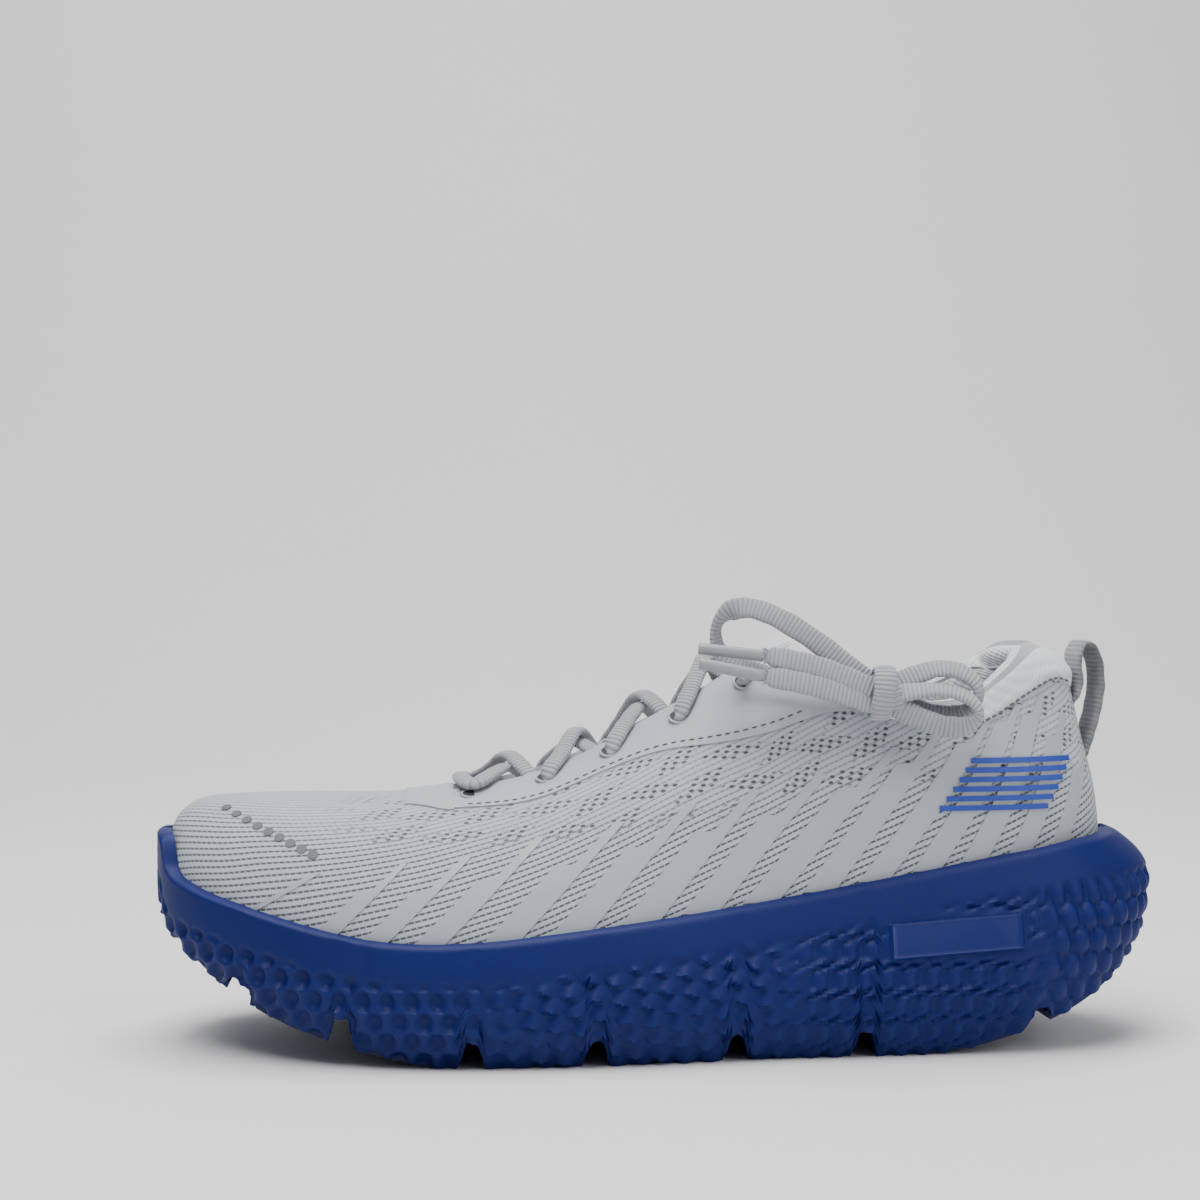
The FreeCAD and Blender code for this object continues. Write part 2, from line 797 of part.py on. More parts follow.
def ground_shape(rise):
    """Everything above the sole's ground line, lifted by rise."""
    front = [
        (-half - 8.0, 62.0), (-148.0, 40.0), (-138.0, 29.5), (-122.0, 17.5), (-102.0, 9.0),
        (-82.0, 3.4), (-70.0, 1.0), (ground_flat_front, 0.0),
    ]
    back = [
        (ground_flat_back, 0.0), (76.0, 0.8), (88.0, 2.6), (111.0, 9.5), (130.0, 19.5),
        (143.0, 32.0), (half + 8.0, 56.0),
    ]
    low = Part.BSplineCurve()
    low.interpolate([V(x, -90, z + rise) for x, z in front])
    high = Part.BSplineCurve()
    high.interpolate([V(x, -90, z + rise) for x, z in back])
    edges = [
        low.toShape(),
        Part.LineSegment(low.EndPoint, high.StartPoint).toShape(),
        high.toShape(),
        Part.LineSegment(high.EndPoint, V(half + 8.0, -90, 140)).toShape(),
        Part.LineSegment(V(half + 8.0, -90, 140), V(-half - 8.0, -90, 140)).toShape(),
        Part.LineSegment(V(-half - 8.0, -90, 140), low.StartPoint).toShape(),
    ]
    return Part.Face(Part.Wire(edges)).extrude(V(0, 180, 0))


def footprint(inset):
    """A vertical block with the sole's plan outline, drawn in by inset."""
    outlines = []
    for side in sides:
        line = []
        for x in spread(-half + inset, half - inset, 30, True, True):
            width = max(sole_width(x, side) - inset, 0.4)
            line.append(V(x, centre_plane + side * width, -5))
        outlines.append(line)
    lateral, medial = outlines
    edges = [
        spline_edge(lateral),
        Part.LineSegment(lateral[-1], medial[-1]).toShape(),
        spline_edge(medial),
        Part.LineSegment(medial[0], lateral[0]).toShape(),
    ]
    return Part.Face(Part.Wire(Part.__sortEdges__(edges))).extrude(V(0, 0, 80))


def grooves():
    """Cross grooves that let the sole bend, as wedges to cut with."""
    wedges = []
    for x in groove_stations:
        z = sole_bottom(x)
        depth = groove_depth * (0.6 if abs(x) > 100.0 else 1.0)
        wedges.append(polygon_prism([
            V(x - groove_mouth, -80, z - 8.0), V(x + groove_mouth, -80, z - 8.0),
            V(x + groove_mouth / 2, -80, z), V(x + groove_root / 2, -80, z + depth),
            V(x - groove_root / 2, -80, z + depth), V(x - groove_mouth / 2, -80, z),
        ], V(0, 160, 0)))
    return wedges


def make_rubber():
    return common(footprint(rubber_inset), [ground_shape(0.0)]).cut(ground_shape(rubber_thickness))


def plate_outline(grow):
    """The H-shaped stiffener as a vertical block, with its outline grown."""
    g = grow
    legs = [
        Part.makeBox(100 + 2 * g, 18 + 2 * g, 60, V(-110 - g, -34 - g, 0)),
        Part.makeBox(100 + 2 * g, 18 + 2 * g, 60, V(-110 - g, 16 - g, 0)),
        Part.makeBox(26 + 2 * g, 46, 60, V(-73 - g, -22, 0)),
    ]
    return legs[0].fuse(legs[1:]).removeSplitter()


def plate_layer(bottom, top, grow):
    def low(x):
        return foot_floor(x) + bottom

    def high(x):
        return foot_floor(x) + top

    return plate_outline(grow).common(band_prism(-118.0, 0.0, low, high))


def make_badge(grow=0.0):
    """A plain raised plate on the outer sidewall, tilted with the sole's edge."""
    x = 81.5
    y = sole_place(x, 0.52, LATERAL).y
    plate = Part.makeBox(badge_length + 2 * grow, 4.0, badge_height + 2 * grow,
                         V(-badge_length / 2 - grow, -badge_thickness, -badge_height / 2 - grow))
    plate = plate.makeFillet(1.2, [e for e in plate.Edges
                                   if abs(e.tangentAt(e.FirstParameter).y) > 0.99])
    plate.rotate(V(0, 0, 0), V(1, 0, 0), -4.0)
    plate.rotate(V(0, 0, 0), V(0, 1, 0), -4.0)
    plate.translate(V(x, y, 35.6))
    return plate


# ---- laces ---------------------------------------------------------------------------------
def cord_tube(points, diameter, label):
    """Straight runs joined by tangent arcs, each arc as large as its runs allow."""
    edges = []
    start = points[0]
    tightest = 1e9
    for i in range(1, len(points) - 1):
        before = points[i - 1].sub(points[i])
        after = points[i + 1].sub(points[i])
        shorter = min(before.Length, after.Length)
        half_turn = 0.5 * (math.pi - before.getAngle(after))
        radius = 0.45 * shorter / math.tan(half_turn)
        tightest = min(tightest, radius)
        reach = 0.45 * shorter
        a = points[i].add(V(before).normalize().multiply(reach))
        b = points[i].add(V(after).normalize().multiply(reach))
        bisector = V(before).normalize().add(V(after).normalize()).normalize()
        to_centre = radius / math.cos(half_turn)
        middle = points[i].add(V(bisector).multiply(to_centre - radius))
        edges.append(Part.LineSegment(start, a).toShape())
        edges.append(Part.Arc(a, middle, b).toShape())
        start = b
    edges.append(Part.LineSegment(start, points[-1]).toShape())
    path = Part.Wire(edges)
    heading = points[1].sub(points[0])
    circle = Part.Wire([Part.Circle(points[0], heading, diameter / 2).toShape()])
    tube = path.makePipeShell([circle], True, False)
    section = math.pi * diameter ** 2 / 4
    print(f"{label}: length {path.Length:.1f}, tightest radius {tightest:.1f},"
          f" volume over section times length {tube.Volume / (section * path.Length):.3f}")
    return tube


knot_centre = V(60.5, -41.5, 105.2)
knot_length = 10.0
knot_width = 9.0
knot_height = 12.5

routes = {
    "lace_loop_tall": [
        V(57.6, -39.6, 108.0), V(47.5, -37.0, 116.4), V(38.0, -34.0, 123.4), V(28.2, -31.0, 129.0),
        V(20.4, -28.5, 130.2), V(14.6, -26.0, 126.0), V(14.6, -24.6, 118.4),
        V(19.6, -24.8, 113.0), V(28.0, -28.0, 110.6), V(38.0, -32.0, 108.4),
        V(47.5, -34.6, 106.8), V(57.4, -38.2, 105.6),
    ],
    "lace_loop_upper": [
        V(63.2, -40.2, 107.2), V(72.0, -40.4, 111.0), V(78.6, -41.4, 112.6), V(85.0, -42.4, 111.2),
        V(89.2, -43.0, 106.8), V(88.4, -41.8, 101.6), V(83.6, -40.2, 98.6), V(77.0, -39.2, 98.6),
        V(70.6, -38.6, 100.2), V(63.0, -39.2, 103.2),
    ],
    "lace_loop_lower": [
        V(63.2, -43.6, 104.8), V(72.4, -45.2, 106.4), V(79.4, -46.2, 106.2), V(86.0, -47.2, 103.6),
        V(88.6, -47.6, 98.8), V(84.2, -47.2, 95.4), V(77.6, -46.4, 95.6), V(71.4, -45.2, 97.8),
        V(62.8, -43.2, 102.0),
    ],
    "lace_tail_upper": [
        V(57.6, -43.2, 106.6), V(46.2, -43.0, 111.6), V(36.4, -42.0, 114.4), V(26.6, -41.0, 116.0),
    ],
    "lace_tail_lower": [
        V(57.8, -43.6, 102.4), V(46.0, -44.8, 106.0), V(36.2, -44.4, 108.6), V(26.2, -43.6, 110.2),
    ],
}


def make_aglet(label, tip_rise):
    """The moulded tip on a tail, on from where the tail ends."""
    end = routes[label][-1]
    heading = end.sub(routes[label][-2]).normalize()
    heading.z += tip_rise
    heading.normalize()
    return Part.makeCylinder(aglet_diameter / 2, aglet_length, end, heading)


def make_knot():
    """The tied knot, a rounded block across the strands."""
    block = Part.makeSphere(1.0)
    matrix = FreeCAD.Matrix()
    matrix.scale(knot_length / 2, knot_width / 2, knot_height / 2)
    block = block.transformGeometry(matrix)
    block.translate(knot_centre)
    return block


def lacing_route():
    """The criss-cross lacing from one last eyelet to the other, in and out of every eyelet."""
    radius = lacing_diameter / 2
    over = film_thickness + radius + 0.5
    under = -(mesh_thickness + 0.3 + radius)

    def spot(x, distance, side, offset):
        if distance < 0:
            return spot(x, -distance, -side, offset)
        return surface_point(x, angle_at_width(x, distance, side), side, offset)

    hole = throat_half_width + eyelet_inset
    halves = []
    for first in sides:
        points = []
        side = first
        for i, x in enumerate(eyelet_stations):
            if i > 0:
                points.append(spot(x - 1.5, hole - 4.5, side, under))
            points.append(spot(x, hole, side, under + 0.6))
            points.append(spot(x + 0.8, hole, side, over))
            if i + 1 < len(eyelet_stations):
                ahead = eyelet_stations[i + 1]
                gap = ahead - x
                lift = 1.0 if first == LATERAL else 5.2
                points.append(spot(x + 0.3 * gap, hole - 8.0, side, over))
                points.append(spot(x + 0.52 * gap, 2.0, side, over + lift - 1.0))
                points.append(spot(x + 0.72 * gap, 6.5, -side, over + 0.5 * lift - 3.4))
                side = -side
        halves.append(points)
    front = halves[0][1:][::-1]
    bar = [
        spot(eyelet_stations[0] - 2.5, 10.0, LATERAL, over),
        spot(eyelet_stations[0] - 2.8, 10.0, MEDIAL, over),
    ]
    return front + bar + halves[1][1:]


# ---- pull tab ------------------------------------------------------------------------------
def make_pull_tab():
    """A strip of webbing bent to a loop, sewn behind the collar at both ends."""
    def spot(before_heel, height):
        return V(half - before_heel, 0, height)

    middle = [
        spot(20.4, 106.0), spot(21.0, 111.0), spot(20.9, 116.0), spot(19.0, 119.4),
        spot(16.4, 118.4), spot(14.2, 112.5), spot(13.8, 105.5), spot(15.1, 98.0),
        spot(16.6, 92.0), spot(17.3, 88.2),
    ]
    line = Part.BSplineCurve()
    line.interpolate(middle)
    outer = []
    inner = []
    for k in range(33):
        t = line.FirstParameter + (line.LastParameter - line.FirstParameter) * k / 32
        point = line.value(t)
        tangent = line.tangent(t)[0]
        side = V(tangent.z, 0, -tangent.x).multiply(tab_thickness / 2)
        outer.append(point.add(side).add(V(0, -tab_width / 2, 0)))
        inner.append(point.sub(side).add(V(0, -tab_width / 2, 0)))
    edges = [
        spline_edge(outer),
        Part.LineSegment(outer[-1], inner[-1]).toShape(),
        spline_edge(inner),
        Part.LineSegment(inner[0], outer[0]).toShape(),
    ]
    return Part.Face(Part.Wire(Part.__sortEdges__(edges))).extrude(V(0, tab_width, 0))


# ---- the whole shoe ------------------------------------------------------------------------
def build():
    parts = {}
    rubber = make_rubber().cut(foot_block(seat_clearance))
    wedges = grooves()
    rubber = rubber.cut(wedges)
    strips = sorted([s for s in rubber.Solids if s.Volume > 50], key=lambda s: s.BoundBox.XMin)
    parts["outsole_toe_pads"] = Part.makeCompound(strips[:2])
    parts["outsole_forefoot_pads"] = Part.makeCompound(strips[2:5])
    parts["outsole_waist_pad"] = strips[5]
    parts["outsole_heel_pads"] = Part.makeCompound(strips[6:])
    sole = sole_block()
    sole = sole.cut(footprint(rubber_inset).cut(ground_shape(rubber_thickness)))
    sole = sole.cut(wedges)
    sole = sole.cut(foot_block(seat_clearance))
    sole = sole.cut(plate_layer(-plate_thickness - 0.4, 0.5, 0.2))
    badge = make_badge()
    sole = sole.cut(badge)
    parts["midsole"] = max(sole.Solids, key=lambda s: s.Volume)
    parts["forefoot_plate"] = plate_layer(-plate_thickness - 0.3, -0.3, 0.0)
    parts["sidewall_badge"] = badge
    parts["strobel_board"] = make_strobel()
    parts["sockliner"] = make_sockliner()
    parts["upper_mesh"] = make_upper_mesh()
    parts["eyestay_film"] = make_eyestay()
    parts["side_stripes_lateral"] = make_stripes(LATERAL)
    parts["side_stripes_medial"] = make_stripes(MEDIAL)
    parts["heel_stripes_lateral"] = make_heel_stripes(LATERAL)
    parts["heel_stripes_medial"] = make_heel_stripes(MEDIAL)
    parts["heel_emblem"] = make_heel_emblem()
    parts["toe_dots"] = make_toe_dots()
    parts["heel_counter"] = make_heel_counter()
    parts["toe_puff"] = make_toe_puff()
    parts["collar_foam"] = make_collar_foam()
    parts["collar_roll"] = make_collar_roll()
    parts["collar_lining"] = make_collar_lining()
    parts["tongue"] = make_tongue()
    parts["lace_lacing"] = cord_tube(lacing_route(), lacing_diameter, "lace_lacing")
    parts["lace_knot"] = make_knot()
    for label, points in routes.items():
        parts[label] = cord_tube(points, lace_diameter, label)
    parts["aglet_upper"] = make_aglet("lace_tail_upper", -0.05)
    parts["aglet_lower"] = make_aglet("lace_tail_lower", 0.04)
    parts["pull_tab"] = make_pull_tab()
    return parts


if __name__ == "__main__":
    os.makedirs("parts", exist_ok=True)
    for name, shape in build().items():
        shape.exportStep(f"parts/{name}.step")
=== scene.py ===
"""Left running shoe: moulded sole, knitted upper, padded collar, tongue, tied laces, pull tab."""
import math

import bpy
import numpy as np
from mathutils import Matrix, Vector


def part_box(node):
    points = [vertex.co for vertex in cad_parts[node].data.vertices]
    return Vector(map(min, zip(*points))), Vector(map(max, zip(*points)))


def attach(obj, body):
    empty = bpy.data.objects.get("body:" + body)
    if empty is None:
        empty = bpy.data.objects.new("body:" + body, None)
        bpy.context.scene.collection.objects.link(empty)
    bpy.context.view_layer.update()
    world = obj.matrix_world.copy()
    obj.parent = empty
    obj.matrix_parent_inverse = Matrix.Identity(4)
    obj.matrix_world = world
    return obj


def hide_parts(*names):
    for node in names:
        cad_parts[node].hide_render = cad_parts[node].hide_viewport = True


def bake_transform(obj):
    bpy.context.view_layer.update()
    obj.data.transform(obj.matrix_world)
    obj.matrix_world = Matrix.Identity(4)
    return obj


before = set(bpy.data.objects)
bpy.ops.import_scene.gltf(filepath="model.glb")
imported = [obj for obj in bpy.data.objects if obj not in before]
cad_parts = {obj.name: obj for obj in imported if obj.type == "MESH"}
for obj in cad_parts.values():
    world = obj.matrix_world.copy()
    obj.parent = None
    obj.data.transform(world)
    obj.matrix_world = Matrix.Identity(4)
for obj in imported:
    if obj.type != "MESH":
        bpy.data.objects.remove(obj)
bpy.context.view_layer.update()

bl_info = {
    "name": "Running shoe",
    "version": (1, 0, 0),
    "blender": (4, 5, 0),
    "location": "3D View > Sidebar > Shoe",
    "description": "Builds a laced running shoe piece by piece around its CAD frame",
    "category": "Object",
}

MM = 0.001
LATERAL = -1
MEDIAL = 1
SIDES = (LATERAL, MEDIAL)
BODY = "shoe"

# ---- shape of the last, in millimetres -------------------------------------------------------
LENGTH = 300.0
HALF = LENGTH / 2.0
SOLE_LIP = 3.6
TOE_TIP = -HALF + SOLE_LIP
HEEL_TIP = HALF - 14.4
CENTRE = 2.0
THROAT_HALF = 11.0
THROAT_FRONT = -62.0
VAMP_ANGLE = 1.1
COLLAR_FRONT = 44.0
EYELETS = (-57.0, -35.0, -16.0, 4.5, 24.0)
EYELET_INSET = 6.5
RIDGE = 0.5 * math.pi


def curve(points):
    """A smooth function through the given points, flat beyond both ends."""
    xs = np.array([p[0] for p in points], float)
    ys = np.array([p[1] for p in points], float)
    order = np.arange(len(xs))
    before = np.maximum(order - 1, 0)
    after = np.minimum(order + 1, len(xs) - 1)
    slopes = (ys[after] - ys[before]) / (xs[after] - xs[before])

    def value(x):
        x = np.clip(np.asarray(x, float), xs[0], xs[-1])
        i = np.clip(np.searchsorted(xs, x, side="right") - 1, 0, len(xs) - 2)
        step = xs[i + 1] - xs[i]
        t = (x - xs[i]) / step
        t2 = t * t
        t3 = t2 * t
        return (
            (2 * t3 - 3 * t2 + 1) * ys[i] + (t3 - 2 * t2 + t) * step * slopes[i]
            + (3 * t2 - 2 * t3) * ys[i + 1] + (t3 - t2) * step * slopes[i + 1]
        )

    return value


def round_end(x, start, tip, power):
    u = np.clip((x - start) / (tip - start), 0.0, 1.0)
    return (1.0 - u ** power) ** (1.0 / power)


def smooth_step(x, start, end):
    t = np.clip((np.asarray(x, float) - start) / (end - start), 0.0, 1.0)
    return t * t * (3.0 - 2.0 * t)


def at(fraction):
    return (fraction - 0.5) * LENGTH


def spread(start, end, count, tight_start=False, tight_end=False):
    t = np.linspace(0.0, 1.0, count + 1)
    if tight_start and tight_end:
        t = 0.5 - 0.5 * np.cos(math.pi * t)
    elif tight_start:
        t = 1.0 - np.cos(0.5 * math.pi * t)
    elif tight_end:
        t = np.sin(0.5 * math.pi * t)
    return start + (end - start) * t


WIDTH = {
    LATERAL: curve([
        (at(0.0), 46.0), (at(0.08), 47.0), (at(0.17), 49.0), (at(0.25), 51.5), (at(0.33), 52.5),
        (at(0.42), 50.5), (at(0.5), 46.5), (at(0.58), 43.0), (at(0.67), 40.0), (at(0.75), 38.0),
        (at(0.83), 36.4), (at(1.0), 36.0)]),
    MEDIAL: curve([
        (at(0.0), 52.0), (at(0.08), 50.5), (at(0.17), 48.8), (at(0.25), 48.5), (at(0.33), 46.0),
        (at(0.42), 40.0), (at(0.5), 34.0), (at(0.58), 30.5), (at(0.67), 30.0), (at(0.75), 31.2),
        (at(0.83), 31.8), (at(1.0), 32.0)]),
}
TOP = 74.3
upper_top = curve([
    (TOE_TIP, TOP - 13.0), (TOE_TIP + 1.0, TOP - 9.0), (TOE_TIP + 3.5, TOP - 5.2),
    (TOE_TIP + 8.0, TOP - 2.2), (TOE_TIP + 16.0, TOP - 0.6), (at(0.15), TOP),
    (at(0.245), TOP + 0.2), (at(0.32), TOP + 3.2), (at(0.38), 81.8), (at(0.443), 90.5),
    (at(0.493), 99.5), (at(0.533), 106.5), (at(0.563), 112.0), (at(0.61), 119.5),
    (at(0.66), 126.0), (at(0.72), 132.0), (at(0.8), 136.0)])
foot_floor = curve([
    (at(0.0), 37.0), (at(0.083), 31.5), (at(0.167), 27.0), (at(0.25), 25.0), (at(0.33), 25.0),
    (at(0.42), 26.6), (at(0.58), 32.0), (at(0.72), 36.0), (at(0.83), 38.0), (at(1.0), 40.5)])
dome_power = curve([
    (at(0.0), 3.2), (at(0.2), 2.7), (at(0.35), 2.1), (at(0.6), 2.0), (at(0.72), 5.0),
    (at(0.85), 9.0)])
heel_back = curve([
    (45.0, -0.4), (62.0, 0.0), (77.0, -1.6), (89.0, -4.6), (101.5, -7.4), (105.6, -8.2),
    (111.0, -9.4), (116.0, -14.0), (119.8, -21.6), (122.5, -28.0)])
heel_lean = curve([(50.0, 1.0), (75.0, 0.98), (95.0, 0.87), (112.0, 0.82), (125.0, 0.84)])
rim_height = curve([
    (20.0, 116.5), (30.0, 113.0), (45.0, 108.0), (60.0, 105.0), (75.0, 103.3), (86.0, 103.6),
    (96.5, 106.4), (106.0, 111.6), (117.0, 116.6), (128.0, 119.8), (HEEL_TIP, 120.6)])
band_height = curve([
    (20.0, 116.0), (30.0, 112.2), (45.0, 106.2), (60.0, 101.6), (75.0, 96.6), (86.0, 94.6),
    (98.0, 97.1), (110.0, 102.5), (122.0, 107.6), (127.5, 108.6), (132.0, 107.4),
    (HEEL_TIP, 105.2)])
medial_lift = curve([(20.0, 0.0), (60.0, 4.0), (96.0, 4.0), (108.0, 1.5), (118.0, 0.0)])
sole_edge = curve([
    (-HALF, 64.0), (-148.0, 62.0), (-146.0, 54.0), (-140.0, 50.0), (-125.0, 45.6),
    (-102.0, 39.8), (-82.0, 36.4), (-60.0, 36.0), (-30.0, 38.6), (12.0, 43.6), (70.0, 53.0),
    (100.0, 58.3), (126.0, 61.5), (HALF, 63.0)])
sole_bottom = curve([
    (-HALF, 46.0), (-148.0, 40.0), (-138.0, 29.5), (-122.0, 17.5), (-102.0, 9.0), (-82.0, 3.4),
    (-70.0, 1.0), (-58.0, 0.0), (62.0, 0.0), (76.0, 0.8), (88.0, 2.6), (111.0, 9.5),
    (130.0, 19.5), (143.0, 32.0), (HALF, 43.0)])
SOLE = {
    LATERAL: curve([
        (at(0.0), 47.9), (at(0.1), 50.2), (at(0.2), 54.6), (at(0.33), 58.0), (at(0.45), 56.3),
        (at(0.58), 51.3), (at(0.68), 49.5), (at(0.8), 48.0), (at(1.0), 48.0)]),
    MEDIAL: curve([
        (at(0.0), 54.0), (at(0.1), 54.0), (at(0.2), 53.4), (at(0.3), 52.9), (at(0.42), 45.6),
        (at(0.52), 37.6), (at(0.62), 36.7), (at(0.72), 38.5), (at(0.82), 42.6), (at(1.0), 42.6)]),
}
PLATE_MIDDLE = 81.5
PLATE_LEVEL = 35.8
PLATE_HALF_LENGTH = 19.5
PLATE_HALF_HEIGHT = 5.1
GROOVES = (-124.0, -94.0, -57.5, -22.5, 18.0, 55.5, 108.0)
tongue_half = curve([
    (-66.0, 8.0), (-50.0, 14.0), (-10.0, 19.0), (12.0, 17.0), (25.0, 10.8), (41.0, 10.5)])
tongue_level = curve([(-66.0, 0.0), (12.0, 0.0), (33.0, 1.0), (41.0, 1.0)])


def place_on(x, angle, side):
    """Points of the upper's outer surface: angle 0 at the floor and 90 degrees at the ridge."""
    x = np.asarray(x, float)
    angle = np.asarray(angle, float)
    floor_z = foot_floor(x)
    rise = np.sin(angle)
    z = floor_z + (upper_top(x) - floor_z) * rise
    width = WIDTH[side](x)
    width = width * np.maximum(1.0 - rise ** dome_power(x), 0.0) ** 0.5
    width = width * round_end(x, at(0.27), TOE_TIP, 2.4) * round_end(x, at(0.78), HEEL_TIP, 2.3)
    width = width * (1.0 + (heel_lean(z) - 1.0) * smooth_step(x, at(0.6), at(0.8)))
    tuck = np.maximum(0.0, 1.0 - (z - floor_z) / 12.0)
    width = width * (1.0 - 0.07 * tuck * tuck)
    shift = heel_back(z) * smooth_step(x, at(0.72), HEEL_TIP)
    return np.stack([x + shift, CENTRE + side * width, z], axis=-1)


def unit(v):
    return v / np.maximum(np.linalg.norm(v, axis=-1, keepdims=True), 1e-9)


def normal_on(x, angle, side):
    x, angle = np.broadcast_arrays(np.asarray(x, float), np.asarray(angle, float))
    near = np.clip(x, TOE_TIP + 0.02, HEEL_TIP - 0.02)
    tilt = np.clip(angle, 0.01, RIDGE - 0.02)
    along = place_on(near + 0.02, tilt, side) - place_on(near - 0.02, tilt, side)
    upwards = place_on(near, tilt + 0.01, side) - place_on(near, tilt - 0.01, side)
    normal = unit(np.cross(along, upwards) * -side)
    ridge = angle >= RIDGE - 1e-6
    tip = (x >= HEEL_TIP - 1e-6) | (x <= TOE_TIP + 1e-6)
    end = np.where(x > 0.0, 1.0, -1.0)
    zero = np.zeros_like(x)
    over = unit(np.stack([-along[..., 2], zero, along[..., 0]], -1))
    out = unit(np.stack([upwards[..., 2], zero, -upwards[..., 0]], -1)) * end[..., None]
    corner = np.stack([0.7 * end, zero, zero + 0.7], -1)
    normal = np.where(ridge[..., None], over, normal)
    normal = np.where(tip[..., None], np.where(ridge[..., None], corner, out), normal)
    fade = 1.0 - smooth_step(x, at(0.12), at(0.22)) * (1.0 - smooth_step(x, at(0.7), at(0.8)))
    normal = normal * np.stack([fade, zero + 1.0, zero + 1.0], -1)
    return unit(normal)


def on_last(x, angle, side, offset=0.0):
    """Points of the upper moved outwards by an offset."""
    offset = np.asarray(offset, float)
    return place_on(x, angle, side) + normal_on(x, angle, side) * offset[..., None]


def at_height(x, z):
    floor_z = foot_floor(x)
    return np.arcsin(np.clip((z - floor_z) / (upper_top(x) - floor_z), 0.0, 1.0))


def at_width(x, distance, side):
    across = np.minimum(distance / WIDTH[side](x), 1.0)
    return np.arcsin((1.0 - across * across) ** (1.0 / dome_power(x)))


def lift(x, side):
    return medial_lift(x) if side == MEDIAL else 0.0 * np.asarray(x, float)


def upper_edge(x, side):
    throat = at_width(x, THROAT_HALF, side)
    collar = at_height(x, band_height(x) + lift(x, side))
    gap = throat - collar
    both = 0.5 * (throat + collar) - 0.5 * np.sqrt(gap * gap + 0.0009)
    return np.where(x < at(0.85), both, collar)


def sole_point(x, height, side, low):
    """A point of the sidewall: height 0 at the ground edge and 1 at the upper edge."""
    ends = round_end(x, at(0.27), -HALF, 2.4) * round_end(x, at(0.8), HALF, 2.4)
    full = (SOLE[side](x) - side * CENTRE) * ends
    seat = (WIDTH[side](x) + SOLE_LIP) * ends
    width = full - np.where(height < 0.4, 8.0 * ends * (1.0 - height / 0.4) ** 2, 0.0)
    leaning = (np.maximum(height - 0.45, 0.0) / 0.55) ** 1.6
    width = width + np.where(height > 0.45, (seat - full) * leaning, 0.0)
    z = low + (sole_edge(x) - low) * height
    pull = (HEEL_TIP + SOLE_LIP - HALF) * np.maximum(0.0, (height - 0.4) / 0.6) ** 1.8
    return np.stack([x + pull * smooth_step(x, at(0.84), HALF), CENTRE + side * width, z], -1)


# ---- making meshes ---------------------------------------------------------------------------
def deselect():
    bpy.ops.object.select_all(action="DESELECT")


def pick(piece):
    deselect()
    piece.select_set(True)
    bpy.context.view_layer.objects.active = piece


def laid_grid(name, points, cloth=None):
    """A grid primitive laid over rows of points in millimetres, with its cloth map in metres."""
    rows, columns = points.shape[:2]
    deselect()
    bpy.ops.mesh.primitive_grid_add(x_subdivisions=columns - 1, y_subdivisions=rows - 1, size=1.0)
    piece = bpy.context.object
    piece.name = name
    mesh = piece.data
    mesh.name = name
    mesh.vertices.foreach_set("co", np.ascontiguousarray(points * MM, dtype=np.float32).ravel())
    if cloth is None:
        along = np.linalg.norm(np.diff(points, axis=0), axis=-1)
        across = np.linalg.norm(np.diff(points, axis=1), axis=-1)
        down = np.concatenate([np.zeros((1, columns)), np.cumsum(along, axis=0)])
        over = np.concatenate([np.zeros((rows, 1)), np.cumsum(across, axis=1)], axis=1)
        middle = columns // 2
        cloth = np.stack([np.repeat(down[:, middle:middle + 1], columns, 1), over], -1)
    corners = np.zeros(len(mesh.loops), dtype=np.int32)
    mesh.loops.foreach_get("vertex_index", corners)
    flat_map = (cloth * MM).reshape(-1, 2)[corners]
    mesh.uv_layers.active.name = "Cloth"
    mesh.uv_layers.active.data.foreach_set("uv", flat_map.astype(np.float32).ravel())
    mesh.update()
    return piece


def joined(name, pieces, merge=0.02):
    """One mesh from several, with the seams between them closed."""
    pick(pieces[0])
    for piece in pieces:
        piece.select_set(True)
    if len(pieces) > 1:
        bpy.ops.object.join()
    piece = bpy.context.object
    piece.name = name
    piece.data.name = name
    clean(piece, merge)
    return piece


def clean(piece, merge=0.02, fill=False):
    """Merges close vertices, fills open edges if asked, and turns every face outwards."""
    pick(piece)
    bpy.ops.object.mode_set(mode="EDIT")
    bpy.ops.mesh.select_all(action="SELECT")
    if merge:
        bpy.ops.mesh.remove_doubles(threshold=merge * MM)
    if fill:
        bpy.ops.mesh.fill_holes(sides=0)
    bpy.ops.mesh.normals_make_consistent(inside=False)
    bpy.ops.object.mode_set(mode="OBJECT")


def use(piece, kind, **values):
    """Adds a modifier to the piece and applies it."""
    pick(piece)
    modifier = piece.modifiers.new(kind.title(), kind)
    for key, value in values.items():
        setattr(modifier, key, value)
    bpy.ops.object.modifier_apply(modifier=modifier.name)


def smooth(piece, degrees=60.0):
    pick(piece)
    bpy.ops.object.shade_smooth_by_angle(angle=math.radians(degrees))


def outward(piece, reference):
    """Turns an open sheet so that its faces look away from the reference point."""
    mesh = piece.data
    total = 0.0
    for face in mesh.polygons:
        total += face.normal.dot(face.center - reference) * face.area
    if total < 0.0:
        mesh.flip_normals()


def finish_piece(piece, material, nodes=(), body=BODY, angle=60.0):
    piece.data.materials.clear()
    piece.data.materials.append(material)
    smooth(piece, angle)
    if body:
        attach(piece, body)
    if nodes:
        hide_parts(*nodes)
    return piece


